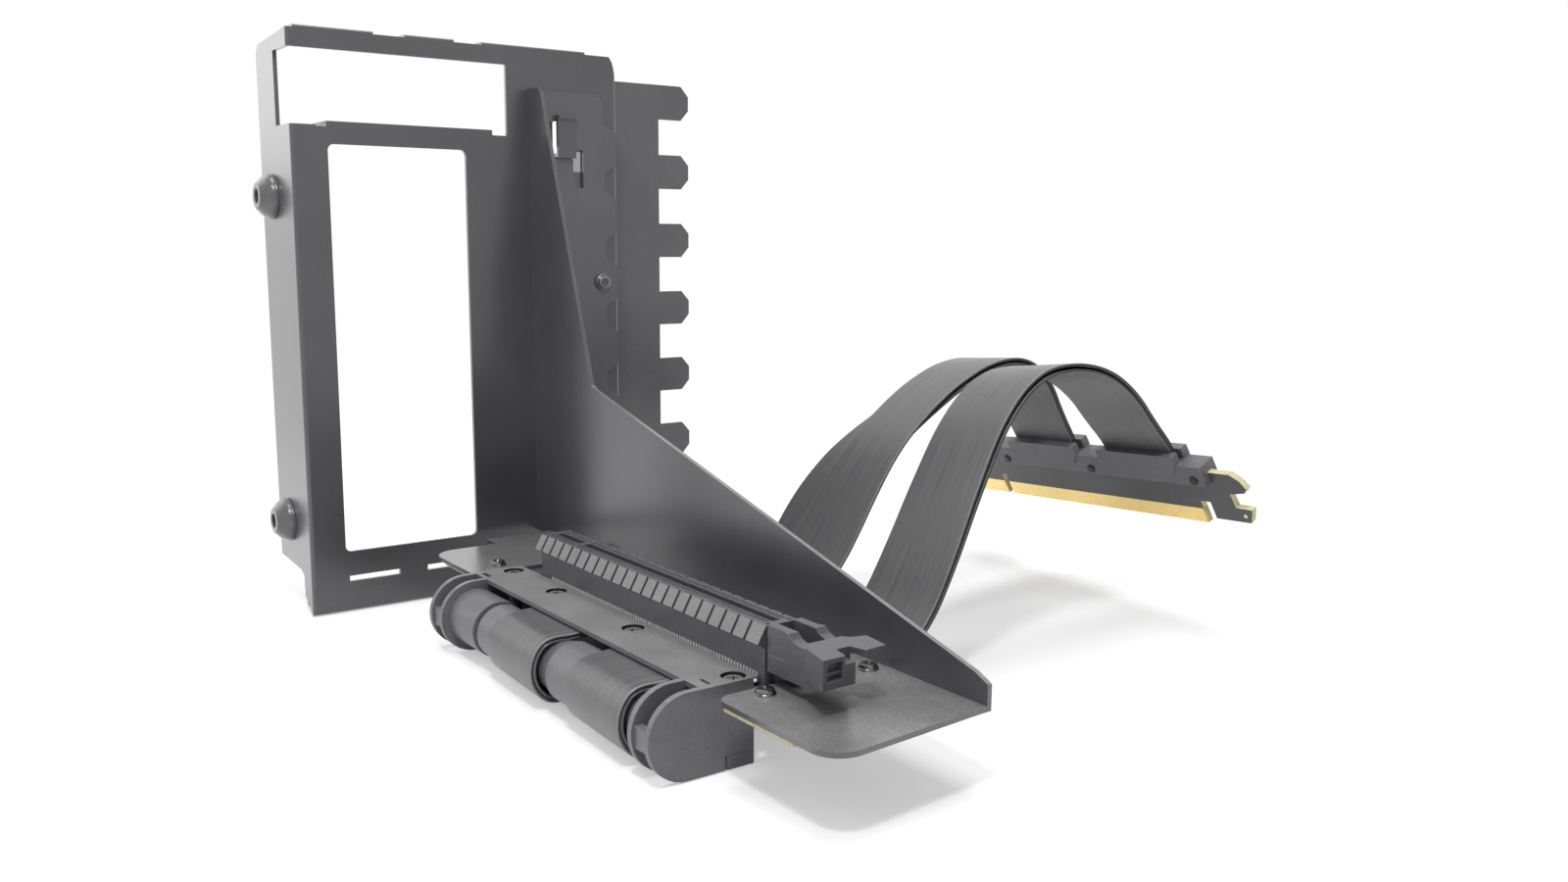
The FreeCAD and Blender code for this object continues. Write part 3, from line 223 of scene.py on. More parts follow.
def settle(piece, body):
    """Turns the modifiers into plain mesh, shades it, and fixes the piece to its body."""
    even_out = piece.modifiers.new("even_shading", "WEIGHTED_NORMAL")
    even_out.keep_sharp = True
    bpy.context.view_layer.update()
    done = piece.evaluated_get(bpy.context.evaluated_depsgraph_get())
    mesh = bpy.data.meshes.new_from_object(done)
    mesh.name = piece.name
    piece.modifiers.clear()
    piece.data = mesh
    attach(piece, body)


def into_mesh(shape, piece, sharp):
    """Puts a finished shape in a piece's mesh, smooth between its sharp edges."""
    shape.to_mesh(piece.data)
    shape.free()
    piece.data.shade_smooth()
    piece.data.set_sharp_from_angle(angle=sharp)


def metres(spot):
    """Turns millimetres to metres: boxes, bars, screws, rows and routes are drawn in millimetres."""
    return Vector([part / 1000 for part in spot])


def boxes(name, corners):
    """Closed boxes, each from its lowest and highest corner in millimetres, as one mesh object."""
    verts, faces = [], []
    for x0, y0, z0, x1, y1, z1 in corners:
        first = len(verts)
        verts += [metres((x, y, z)) for z in (z0, z1) for y in (y0, y1) for x in (x0, x1)]
        faces += [[first + corner for corner in side] for side in (
            (0, 2, 3, 1), (4, 5, 7, 6), (0, 1, 5, 4), (2, 6, 7, 3), (0, 4, 6, 2), (1, 3, 7, 5))]
    return mesh_piece(name, verts, faces, [])


def eased(name, node, edge, materials, body="mount", steps=2, cuts=(), trim=Vector):
    """A copy of a solid, trimmed point by point, with small openings cut in it and its sharp edges eased.

    The eased edges take the last material."""
    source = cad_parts[node].data
    shape = bmesh.new()
    points = [shape.verts.new(trim(vertex.co)) for vertex in source.vertices]
    for face in source.polygons:
        shape.faces.new([points[index] for index in face.vertices])
    bmesh.ops.remove_doubles(shape, verts=shape.verts, dist=2e-6)
    bmesh.ops.dissolve_limit(shape, angle_limit=math.radians(1), verts=shape.verts, edges=shape.edges)
    piece = mesh_piece(name, [], [], materials)
    into_mesh(shape, piece, SHARP)
    if cuts:
        cutter = boxes(name + "_cutter", cuts)
        carve = piece.modifiers.new("cut", "BOOLEAN")
        carve.object = cutter
        carve.solver = "EXACT"
    round_off = piece.modifiers.new("edge", "BEVEL")
    round_off.width = edge
    round_off.segments = steps
    round_off.limit_method = "ANGLE"
    round_off.angle_limit = SHARP
    round_off.material = len(materials) - 1
    settle(piece, body)
    if cuts:
        bpy.data.objects.remove(cutter)
    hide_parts(node)
    return piece


def recoat(piece, material, chosen):
    """Gives one of a piece's materials to the chosen faces that have an earlier one."""
    index = piece.data.materials.find(material.name)
    for face in piece.data.polygons:
        if face.material_index < index and chosen(face):
            face.material_index = index


powder_coat = grained("powder_coat", (0.046, 0.046, 0.053), (0.09, 0.09, 0.1), rough=(0.26, 0.34),
                      fleck=3200.0, patch=45.0, relief=0.00004, coat=1.0)
# Painted highlight: the eased edges of the sheets and screws are drawn paler than the coat.
coat_edge = grained("coat_edge", (0.22, 0.22, 0.225), (0.32, 0.32, 0.325), rough=(0.26, 0.36),
                    fleck=3200.0, patch=300.0, relief=0.00002)
# Painted shade: the upright's front face is drawn darker than the rest of the coat.
face_coat = grained("face_coat", (0.034, 0.034, 0.04), (0.068, 0.068, 0.078), rough=(0.26, 0.34),
                    fleck=3200.0, patch=45.0, relief=0.00004, coat=1.0)
upright = eased("frame_sheet", "slot_frame", CUT_EDGE, [powder_coat, face_coat, coat_edge])
recoat(upright, face_coat, lambda face: face.normal.x > FLAT and face.center.x > BEHIND_FACE)


# Gusset and shelf: a second folded steel sheet, coated like the frame and screwed to its face
# through a flange. It carries the riser. Its flat top has a coarser coat with pale specks, and is
# painted paler, a painted reflection.
FREE_END = 0.085  # only what is past this X is drawn back
WEB_TIP, WEB_SIDE = 0.099, -0.0005
WEB_BACK = 0.00075
SHELF_BACK = 0.00355  # at the fold, and less towards the front edge
SHELF_SKEW = 0.075
FOLD_Y = -0.0001


def drawn_back(spot):
    """Draws the free end of the sheet back, so the shelf and the web end together at the fold."""
    spot = spot.copy()
    if spot.x > FREE_END:
        if spot.y > WEB_SIDE and spot.x < WEB_TIP:
            spot.x -= WEB_BACK
        else:
            spot.x += SHELF_SKEW * (FOLD_Y - spot.y) - SHELF_BACK
    return spot


# Painted reflection: the shelf's flat top is drawn paler, with a coarser grain and pale specks.
shelf_coat = grained("shelf_coat", (0.09, 0.09, 0.092), (0.24, 0.24, 0.238), rough=(0.26, 0.36),
                     fleck=1900.0, patch=45.0, relief=0.00005, coat=0.7)
gusset = eased("gusset_sheet", "gusset_shelf", CUT_EDGE, [powder_coat, shelf_coat, coat_edge],
               trim=drawn_back)
recoat(gusset, shelf_coat, lambda face: face.normal.z > FLAT)


# Black screws: two domed thumb screws through the left flange and a small one in the gusset's
# flange, in black-plated steel. The thumb screws are the shinier ones.
TURNED_EDGE = 0.0002
black_plate = grained("black_plate", (0.06, 0.06, 0.063), (0.11, 0.11, 0.113), rough=(0.24, 0.34),
                      fleck=5000.0, patch=200.0, relief=0.00002)
worn_plate = grained("worn_plate", (0.06, 0.06, 0.062), (0.11, 0.11, 0.11), rough=(0.24, 0.34),
                     fleck=5000.0, patch=200.0, relief=0.00002, coat=1.0)
for node, plate in (("lower_flange_screw", worn_plate), ("upper_flange_screw", worn_plate),
                    ("bracket_screw", black_plate)):
    eased(node + "_turned", node, TURNED_EDGE, [plate, coat_edge])


# Shelf screws: four pan heads with washers in dull nickel plate, driven through the shelf to hold
# the riser board under it. Each stopped at a turn of its own.
PAN_HEAD = [(1.2, -2.6), (1.2, 0), (2, 0), (2, 0.26), (1.92, 0.34), (1.75, 0.35), (1.75, 0.72),
            (1.6, 0.97), (1.3, 1.1)]
SHELF_TOP = 15.45
SHELF_SCREWS = [(x, y, SHELF_TOP) for x in (-41.1, 69.8) for y in (-26.1, -2.7)]
SCREW_SIDES = 24
SCREW_SHARP = math.radians(32)
RECESS_TAPER = 1.6


def copying_tree(name, inputs):
    """A new tree that sets copies of a piece down, with its named inputs and its way in and out."""
    tree = bpy.data.node_groups.new(name, "GeometryNodeTree")
    for label, kind in inputs:
        tree.interface.new_socket(name=label, in_out="INPUT", socket_type="NodeSocket" + kind)
    tree.interface.new_socket(name="Geometry", in_out="OUTPUT", socket_type="NodeSocketGeometry")
    return tree, add_node(tree, "NodeGroupInput"), add_node(tree, "NodeGroupOutput")


def merged(tree, copies, way_in, way_out):
    """Ends a tree: its copies become one mesh in the finish that it is given."""
    merge = add_node(tree, "GeometryNodeRealizeInstances")
    coat = add_node(tree, "GeometryNodeSetMaterial")
    wire(tree, (copies, merge.inputs["Geometry"]), (merge.outputs[0], coat.inputs["Geometry"]),
         (way_in.outputs["Finish"], coat.inputs["Material"]), (coat.outputs[0], way_out.inputs["Geometry"]))


at_places, way_in, way_out = copying_tree("at_places", (
    ("Geometry", "Geometry"), ("Piece", "Object"), ("Seed", "Int"), ("Finish", "Material")))
pattern = add_node(at_places, "GeometryNodeObjectInfo")
spin = add_node(at_places, "FunctionNodeRandomValue")
spin.data_type = "FLOAT_VECTOR"
spin.inputs[0].default_value = (0, 0, 0)
spin.inputs[1].default_value = (0, 0, math.tau)
set_down = add_node(at_places, "GeometryNodeInstanceOnPoints")
wire(at_places, (way_in.outputs["Piece"], pattern.inputs["Object"]),
     (way_in.outputs["Seed"], spin.inputs["Seed"]), (way_in.outputs["Geometry"], set_down.inputs["Points"]),
     (pattern.outputs["Geometry"], set_down.inputs["Instance"]),
     (spin.outputs[0], set_down.inputs["Rotation"]))
merged(at_places, set_down.outputs[0], way_in, way_out)


def planted(name, tree, inputs, places=((0, 0, 0),)):
    """Runs a node tree on some places in millimetres and keeps what it makes as one plain mesh."""
    piece = mesh_piece(name, [metres(place) for place in places], [], [])
    grow = piece.modifiers.new("grow", "NODES")
    grow.node_group = tree
    for item in tree.interface.items_tree:
        if item.in_out == "INPUT" and item.name in inputs:
            grow[item.identifier] = inputs[item.name]
    settle(piece, "mount")
    bpy.data.objects.remove(inputs["Piece"])
    return piece


def screw(name, profile, arm, half, deep):
    """One turned screw with a cross recess, in millimetres, from its radii and heights, lowest first.

    Arm and half are the cross's reach and half its width."""
    shape = bmesh.new()
    angles = [math.tau * k / SCREW_SIDES for k in range(SCREW_SIDES)]
    rings = [[shape.verts.new(metres((radius * math.cos(a), radius * math.sin(a), high))) for a in angles]
             for radius, high in profile]
    shape.faces.new(rings[0])
    for lower, upper in zip(rings, rings[1:]):
        for k in range(SCREW_SIDES):
            shape.faces.new((lower[k - 1], lower[k], upper[k], upper[k - 1]))
    cross = [(arm, -half), (arm, half), (half, half), (half, arm), (-half, arm), (-half, half)]
    cross += [(-x, -y) for x, y in cross]
    crown = profile[-1][1]
    mouth = [shape.verts.new(metres((x, y, crown))) for x, y in cross]
    floor = [shape.verts.new(metres((x / RECESS_TAPER, y / RECESS_TAPER, crown - deep))) for x, y in cross]
    rim = [shape.edges.get((rings[-1][k - 1], rings[-1][k])) for k in range(SCREW_SIDES)]
    lip = [shape.edges.new((mouth[k - 1], mouth[k])) for k in range(len(mouth))]
    bmesh.ops.triangle_fill(shape, use_beauty=True, edges=rim + lip, normal=(0, 0, 1))
    for k in range(len(mouth)):
        shape.faces.new((mouth[k - 1], mouth[k], floor[k], floor[k - 1]))
    shape.faces.new(floor)
    bmesh.ops.recalc_face_normals(shape, faces=shape.faces)
    piece = mesh_piece(name, [], [], [])
    into_mesh(shape, piece, SCREW_SHARP)
    return piece


nickel = grained("nickel", (0.13, 0.13, 0.135), (0.24, 0.24, 0.24), rough=(0.2, 0.3),
                 fleck=6000.0, patch=400.0, relief=0.00001, metal=1.0)
pan_head = screw("pan_head", PAN_HEAD, arm=0.95, half=0.24, deep=0.6)
pan_heads = planted("shelf_screw_set", at_places, {"Piece": pan_head, "Seed": 4, "Finish": nickel},
                    SHELF_SCREWS)
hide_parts("shelf_screws")


# Riser board: glass fibre board with a black mask on both faces and the pale cut edge bare. The
# four shelf screws hold it under the shelf.
BOARD_EDGE = 0.00008
MASKED = 0.6  # the mask covers what faces out of the board by this much
BESIDE_COVER = Vector((0.06, -0.02))
CORNER_X = 0.0672
FRONT_PART, FRONT_Y = -0.032, -0.0331
black_mask = grained("black_mask", (0.066, 0.067, 0.072), (0.104, 0.105, 0.11), rough=(0.26, 0.36),
                     fleck=2500.0, patch=90.0, relief=0.00002)
bare_fibre = grained("bare_fibre", (0.57, 0.51, 0.3), (0.8, 0.74, 0.47), rough=(0.6, 0.75),
                     fleck=2600.0, patch=700.0, relief=0.00005)


def board(name, node, facing, trim=Vector):
    """A board whose flat faces are masked and whose cut edges are bare."""
    piece = eased(name, node, BOARD_EDGE, [black_mask, bare_fibre], steps=1, trim=trim)
    for face in piece.data.polygons:
        face.material_index = 0 if abs(face.normal.dot(facing)) > MASKED else 1
    return piece


def under_shelf(spot):
    """Keeps the corner beside the cover behind the shelf, and the front edge close under its rim."""
    spot = spot.copy()
    if spot.x > BESIDE_COVER.x and spot.y < BESIDE_COVER.y:
        spot.x = max(spot.x, CORNER_X)
        if spot.y < FRONT_PART:
            spot.y = FRONT_Y
    return spot


board("riser_board", "riser_pcb", Vector((0, 0, 1)), under_shelf)


# Card socket: a long moulding in glass-filled black nylon, pressed on the board, with a bevelled
# and grooved band round its top. Thin ribs part the contact cells beside its slot, and plated
# contacts stand along both of the slot's walls.
SOCKET_EDGE = 0.00012
SOCKET_TOP = 25.8
CUT_TOP = 26.4
CELL_RUNS = ((-22.2, -10.8), (-9, 63.1))
CELL_SIDES = (-21.4, -17.7)
CELL_WIDE = 1.3
CELL_FLOOR = 24.4
PIT_ENDS = (63.5, 64.2)
PIT_SIDES = (-21.3, -16.5)
PIT_HALF = 0.35
PIT_FLOOR = 24.6
BAND_SLOPE = (0.2, 0.95)  # how far up the band's bevels face
RIB = (-0.2, -0.66, -1.4, 0.2, 0.66, -0.1)
RIB_Y, RIB_ROWS = -20.75, (0, 3.7, 0)
CONTACT = (-0.28, -0.12, -8.0, 0.28, 0.12, -2.4)
CONTACT_Y, CONTACT_ROWS = -19.67, (0, 1.54, 0)
PITCH = (1, 0, 0)

in_rows, way_in, way_out = copying_tree("in_rows", (
    ("Geometry", "Geometry"), ("Piece", "Object"), ("Start", "Vector"), ("Count", "Int"),
    ("Step", "Vector"), ("Rows", "Int"), ("Row Step", "Vector"), ("Finish", "Material")))
pattern = add_node(in_rows, "GeometryNodeObjectInfo")
one_row = add_node(in_rows, "GeometryNodeMeshLine")
all_rows = add_node(in_rows, "GeometryNodeMeshLine")
along_row = add_node(in_rows, "GeometryNodeInstanceOnPoints")
each_row = add_node(in_rows, "GeometryNodeInstanceOnPoints")
wire(in_rows, (way_in.outputs["Piece"], pattern.inputs["Object"]),
     (way_in.outputs["Count"], one_row.inputs["Count"]), (way_in.outputs["Step"], one_row.inputs["Offset"]),
     (way_in.outputs["Rows"], all_rows.inputs["Count"]),
     (way_in.outputs["Row Step"], all_rows.inputs["Offset"]),
     (way_in.outputs["Start"], all_rows.inputs["Start Location"]),
     (one_row.outputs[0], along_row.inputs["Points"]),
     (pattern.outputs["Geometry"], along_row.inputs["Instance"]),
     (all_rows.outputs[0], each_row.inputs["Points"]), (along_row.outputs[0], each_row.inputs["Instance"]))
merged(in_rows, each_row.outputs[0], way_in, way_out)


def rows(name, shape, start, count, step, ranks, rank_step, finish):
    """Copies of one small shape in even rows; places and steps are in millimetres."""
    return planted(name, in_rows, {
        "Piece": shape, "Start": list(metres(start)), "Count": count, "Step": list(metres(step)),
        "Rows": ranks, "Row Step": list(metres(rank_step)), "Finish": finish})


nylon = grained("nylon", (0.066, 0.065, 0.072), (0.108, 0.107, 0.117), rough=(0.34, 0.44),
                fleck=2400.0, patch=120.0, relief=0.00003)
# Painted highlight: the eased edges and the thin ribs are drawn paler than the nylon.
nylon_edge = grained("nylon_edge", (0.12, 0.12, 0.122), (0.18, 0.18, 0.182), rough=(0.3, 0.4),
                     fleck=2400.0, patch=300.0, relief=0.00002)
# Painted highlight: the band's upward-facing bevels are drawn paler than the nylon.
band_face = grained("band_face", (0.13, 0.13, 0.132), (0.2, 0.2, 0.202), rough=(0.34, 0.44),
                    fleck=2400.0, patch=120.0, relief=0.00003)
cells = [(x0, y, CELL_FLOOR, x1, y + CELL_WIDE, CUT_TOP) for x0, x1 in CELL_RUNS for y in CELL_SIDES]
cells += [(PIT_ENDS[0], y - PIT_HALF, PIT_FLOOR, PIT_ENDS[1], y + PIT_HALF, CUT_TOP) for y in PIT_SIDES]
housing = eased("socket_moulding", "socket_housing", SOCKET_EDGE, [nylon, band_face, nylon_edge],
                cuts=cells)
recoat(housing, band_face, lambda face: BAND_SLOPE[0] < face.normal.z < BAND_SLOPE[1])
for name, first, count in (("socket_ribs_long", -8.5, 72), ("socket_ribs_short", -21.5, 11)):
    rows(name, boxes("rib", [RIB]), (first, RIB_Y, SOCKET_TOP), count, PITCH, ranks=2, rank_step=RIB_ROWS,
         finish=nylon_edge)
plated = grained("plated", (0.4, 0.29, 0.11), (0.66, 0.48, 0.18), rough=(0.25, 0.4),
                 fleck=3000.0, patch=500.0, relief=0.00002, metal=1.0)
contacts = [
    rows(name, boxes("contact", [CONTACT]), (first, CONTACT_Y, SOCKET_TOP), count, PITCH, ranks=2,
         rank_step=CONTACT_ROWS, finish=plated)
    for name, first, count in (("socket_contacts_long", -8, 71), ("socket_contacts_short", -21, 10))]
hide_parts("socket_contacts")


# Card latch: a moulded rocker of black nylon that turns on a pin in the socket's tongue, with two
# ears that a finger presses. Its end is rougher and painted darker, a painted shade.
LATCH_EDGE = 0.00025
END_FACING = 0.6
rough_nylon = grained("rough_nylon", (0.03, 0.03, 0.034), (0.056, 0.056, 0.062), rough=(0.5, 0.6),
                      fleck=2400.0, patch=120.0, relief=0.00005)
rocker = eased("latch_rocker", "socket_latch", LATCH_EDGE, [nylon, rough_nylon, nylon_edge], body="latch")
recoat(rocker, rough_nylon, lambda face: face.normal.x > END_FACING)


# Riser cover: a strip moulded in black plastic, with round cheeks at both ends, a clamp bar below
# and the drum that the ribbons turn round. Four screws in sinks hold it over the ribbons' soldered
# ends; the sinks are painted near black, a painted shade. A row of tails shows behind it, and one
# small bead painted pale, a painted glint on the last tail.
MOULD_EDGE = 0.0002
SINK_Y, HEAD_SEAT = -26.5, 15.4
COVER_SCREWS = [(x, SINK_Y, HEAD_SEAT) for x in (-31.3, -9.3, 24.6, 60.4)]
SINK_LOW, SINK_TOP = 0.0152, 0.0161
SINK_WIDE = 0.0024
DRUM = [(-27.6, 6.3), (-14.75, 6.3), (-14.6, 6.24), (-14.5, 6.1), (-14.5, 4.9), (-13.1, 4.9), (-13.1, 5.8),
        (-13, 5.94), (-12.85, 6), (-5.75, 6), (-5.6, 5.94), (-5.6, 5.5), (20.6, 5.5), (20.6, 6.2),
        (20.75, 6.3), (29.3, 6.3), (29.5, 6.2), (29.5, 5.5), (56.1, 5.5)]
DRUM_Y, DRUM_Z = -37.9, 8.075
DRUM_SIDES = 72
ROUND_SHARP = math.radians(50)
TAIL = (-0.2, -0.17, -0.5, 0.2, 0.17, 0.66)
FIRST_TAIL = (-18.5, -22.72, 16.15)
TAIL_COUNT = 82
BEAD_PLACE = (63.6, -23.85, 15.6)
BEAD_RADIUS = 0.00035
moulding = grained("moulding", (0.1, 0.099, 0.11), (0.19, 0.188, 0.204), rough=(0.36, 0.46),
                   fleck=2800.0, patch=80.0, relief=0.00004)
# Painted highlight: the strip's flat top is drawn paler than its sides.
strip_face = grained("strip_face", (0.15, 0.15, 0.15), (0.26, 0.26, 0.258), rough=(0.36, 0.46),
                     fleck=2800.0, patch=80.0, relief=0.00004)
# Painted highlight: the eased edges of the strip, clamp bar and plug shells are drawn paler.
moulding_edge = grained("moulding_edge", (0.15, 0.15, 0.152), (0.24, 0.24, 0.242), rough=(0.32, 0.42),
                        fleck=2800.0, patch=300.0, relief=0.00002)
# Painted shade: the screw sinks and cross recesses are drawn near black; the plug's black pins use the same
# material.
recess_black = grained("recess_black", (0.008, 0.008, 0.009), (0.016, 0.016, 0.017), rough=(0.4, 0.5),
                       fleck=3000.0, patch=300.0, relief=0.00002)


def from_screw(spot):
    """How far a place is from the nearest cover screw's axis."""
    return min(math.hypot(spot.x - x / 1000, spot.y - y / 1000) for x, y, z in COVER_SCREWS)


def turned(name, profile, y, z, material):
    """A closed round bar along X through y and z, from its places and radii in millimetres."""
    angles = [math.tau * k / DRUM_SIDES for k in range(DRUM_SIDES)]
    shape = bmesh.new()
    rings = [[shape.verts.new(metres((x, y + r * math.cos(a), z + r * math.sin(a)))) for a in angles]
             for x, r in profile]
    for end in (rings[0], rings[-1]):
        shape.faces.new(end)
    for ring, after in zip(rings, rings[1:]):
        for k in range(DRUM_SIDES):
            shape.faces.new((ring[k - 1], ring[k], after[k], after[k - 1]))
    bmesh.ops.recalc_face_normals(shape, faces=shape.faces)
    piece = mesh_piece(name, [], [], [material])
    into_mesh(shape, piece, ROUND_SHARP)
    return piece


strip = eased("cover_moulding", "riser_cover", MOULD_EDGE,
              [moulding, strip_face, recess_black, moulding_edge])
recoat(strip, recess_black, lambda face: (
    SINK_LOW < face.center.z < SINK_TOP and from_screw(face.center) < SINK_WIDE))
recoat(strip, strip_face, lambda face: face.center.z > SINK_LOW and face.normal.z > FLAT)
eased("clamp_bar", "bottom_cover", MOULD_EDGE, [moulding, moulding_edge])
drum = turned("ribbon_drum", DRUM, DRUM_Y, DRUM_Z, moulding)
settle(drum, "mount")
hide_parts("cable_core")
tails = grained("tails", (0.45, 0.45, 0.45), (0.72, 0.72, 0.71), rough=(0.3, 0.42),
                fleck=4000.0, patch=700.0, relief=0.00001)
rows("solder_tails", boxes("tail", [TAIL]), FIRST_TAIL, TAIL_COUNT, PITCH, ranks=1, rank_step=(0, 1, 0),
     finish=tails)
# Painted glint: a small very pale bead at the end of the last tail.
solder = grained("solder", (0.8, 0.8, 0.8), (0.95, 0.95, 0.94), rough=(0.2, 0.3),
                 fleck=4000.0, patch=700.0, relief=0.00001)
bead = mesh_piece("solder_bead", [], [], [solder])
shape = bmesh.new()
bmesh.ops.create_icosphere(shape, subdivisions=3, radius=BEAD_RADIUS,
                           matrix=Matrix.Translation(metres(BEAD_PLACE)))
into_mesh(shape, bead, ROUND_SHARP)
settle(bead, "mount")


# Cover screws: four small cross-head screws sunk in the strip, in dull black-plated steel. Their
# cross recesses are painted near black, a painted shade.
SUNK_HEAD = [(0.7, -5), (0.7, 0), (1.85, 0), (1.85, 0.24), (1.75, 0.36), (1.55, 0.4)]
RECESS_LOW, RECESS_TOP = 0.0152, 0.01579
RECESS_REACH = 0.0012
dull_plate = grained("dull_plate", (0.13, 0.13, 0.132), (0.23, 0.23, 0.232), rough=(0.26, 0.36),
                     fleck=5000.0, patch=200.0, relief=0.00002)
sunk_head = screw("sunk_head", SUNK_HEAD, arm=1.15, half=0.24, deep=0.5)
heads = planted("cover_screw_set", at_places, {"Piece": sunk_head, "Seed": 9, "Finish": dull_plate},
                COVER_SCREWS)
heads.data.materials.append(recess_black)
recoat(heads, recess_black, lambda face: (
    RECESS_LOW < face.center.z < RECESS_TOP and from_screw(face.center) < RECESS_REACH))
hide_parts("cover_screws")


# Edge plug: a small board with gold-plated fingers, a hooked end and a two-part moulded shell that
# clamps the ribbons' ends, joined by three black pins. Plug places run along the board's lower
# edge, up its face and out of it.
PLUG_PLACE = Vector((-0.0143, 0.1242, 0.0213))
PLUG_YAW, PLUG_ROLL, PLUG_LEAN = math.radians(-5.3), math.radians(-3.9), math.radians(28.6)
PLUG_SKEW = -0.1
BED_RUNS = ((-13.55, -1.9), (0, 71.65))
BED_LOW, BED_HIGH, BED_HALF = -0.02, 4.15, 0.83
FINGER = (-0.36, 0, 0, 0.36, 4.1, 0.06)
FINGER_OUT, FINGER_APART = 0.825, 1.71
DOT = (83.55, 3.05, 0.8, 84.45, 3.95, 0.85)
PIN_EDGE = 0.0001
plug_along = Vector((math.cos(PLUG_YAW) * math.cos(PLUG_ROLL), math.sin(PLUG_YAW), -math.sin(PLUG_ROLL)))
plug_along.normalize()
plug_out = plug_along.cross(Vector((PLUG_SKEW, -math.sin(PLUG_LEAN), math.cos(PLUG_LEAN)))).normalized()
plug_up = plug_out.cross(plug_along).normalized()
plug_turn = Matrix((plug_along, plug_up, plug_out)).transposed().to_4x4()
plug_spot = Matrix.Translation(PLUG_PLACE) @ plug_turn
gold = grained("gold_plate", (0.98, 0.74, 0.3), (1.0, 0.84, 0.42), rough=(0.22, 0.34),
               fleck=3000.0, patch=300.0, relief=0.00001, metal=1.0)
gilt_bed = grained("gilt_bed", (0.8, 0.56, 0.2), (0.92, 0.68, 0.27), rough=(0.4, 0.5),
                   fleck=3000.0, patch=300.0, relief=0.00002, metal=1.0)


def on_plug(name, corners, finish):
    """Thin plated boxes on the plug's board."""
    piece = boxes(name, corners)
    piece.data.materials.append(finish)
    piece.data.transform(plug_spot)
    settle(piece, "mount")
    return piece


plug_pieces = [board("plug_board", "plug_pcb", plug_out)]
plug_pieces.append(on_plug("plug_bed", [
    (x0, BED_LOW, -BED_HALF, x1, BED_HIGH, BED_HALF) for x0, x1 in BED_RUNS], gilt_bed))
fingers = []
for name, first, count in (("plug_gold_long", 0.6, 71), ("plug_gold_short", -13.0, 11)):
    finger = boxes("finger", [FINGER])
    finger.data.transform(plug_turn)
    start = plug_spot @ metres((first, 0, FINGER_OUT)) * 1000
    fingers.append(rows(name, finger, start, count, plug_along, ranks=2, rank_step=plug_out * -FINGER_APART,
                        finish=gold))
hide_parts("plug_fingers")
plug_pieces += fingers
for name, node in (("plug_shell_front", "plug_front_shell"), ("plug_shell_back", "plug_back_shell")):
    plug_pieces.append(eased(name, node, MOULD_EDGE, [moulding, moulding_edge]))
plug_pieces.append(on_plug("plug_dot", [DOT], gold))
plug_pieces.append(eased("plug_pin_set", "plug_pins", PIN_EDGE, [recess_black]))


# Ribbons: two flat cables, each two layers of many fine wires in a black satin jacket. They leave the
# board under the cover strip, turn round the drum, run back under the shelf and rise in an arch to
# the plug, turning slightly to meet it.
RIBBON_WIDE = 0.0224
WIRE_PITCH = 0.00062
LAYER_THICK = 0.00068
LAYER_STEP = 0.0004
LAYER_SWELL = 0.0003
SIDE_IN, RIM_IN, SIDE_SHARE = 0.0001, 0.0004, 0.7
ROLL_LOOSE = 0.0008  # how far the right edge stands off the drum
LOOSE_LEFT = 0.15  # the left edge's share of that
ROLL_START, ROLL_EASE, ROLL_END = -0.0355, 0.006, -0.02
ARCH_START = 0.0058
LEAN_FROM, LEAN_OVER = 0.15, 0.42  # shares of the arch's length, as are the next two lines
MEET_FROM, MEET_OVER = 0.55, 0.45
SLIP_END = 0.62
RIGHT_HELD = 0.6  # the share of the upper layer's slip that its right edge doesn't make
# The jacket's rims are painted lighter, a painted highlight, and its sides in the arch darker, a painted
# shade.
FACE, RIM, SIDE = range(3)  # the jacket's materials in their order

jacket = bpy.data.materials.new("jacket")
jacket.use_nodes = True
tree = jacket.node_tree
body = tree.nodes["Principled BSDF"]
lay = add_node(tree, "ShaderNodeAttribute")
lay.attribute_name = "wire_lay"
part = add_node(tree, "ShaderNodeSeparateXYZ")
wires = add_node(tree, "ShaderNodeMath", {1: math.tau / WIRE_PITCH}, "MULTIPLY")
ridge = add_node(tree, "ShaderNodeMath", operation="SINE")
stretch = add_node(tree, "ShaderNodeMapping", {"Scale": (6000.0, 40.0, 1.0)})
streak = add_node(tree, "ShaderNodeTexNoise", {"Scale": 1.0, "Detail": 3.0})
height = add_node(tree, "ShaderNodeMath", {1: 0.35}, "MULTIPLY_ADD")
bump = add_node(tree, "ShaderNodeBump", {"Strength": 0.5, "Distance": 0.00008})
tone = ramp(tree, 0.25, (0.055, 0.055, 0.058), 0.75, (0.165, 0.165, 0.168))
gloss = add_node(tree, "ShaderNodeMapRange", {"To Min": 0.25, "To Max": 0.37})
wire(tree, (lay.outputs["Vector"], part.inputs[0]), (part.outputs["X"], wires.inputs[0]),
     (wires.outputs[0], ridge.inputs[0]), (lay.outputs["Vector"], stretch.inputs["Vector"]),
     (stretch.outputs[0], streak.inputs["Vector"]), (ridge.outputs[0], height.inputs[0]),
     (streak.outputs[0], height.inputs[2]), (height.outputs[0], bump.inputs["Height"]),
     (bump.outputs[0], body.inputs["Normal"]), (streak.outputs[0], tone.inputs[0]),
     (tone.outputs[0], body.inputs["Base Color"]), (streak.outputs[0], gloss.inputs["Value"]),
     (gloss.outputs[0], body.inputs["Roughness"]))
# Painted highlight: the layers' rims are drawn paler than the jacket.
jacket_rim = grained("jacket_rim", (0.16, 0.16, 0.162), (0.26, 0.26, 0.262), rough=(0.34, 0.46),
                     fleck=2000.0, patch=150.0, relief=0.00003)
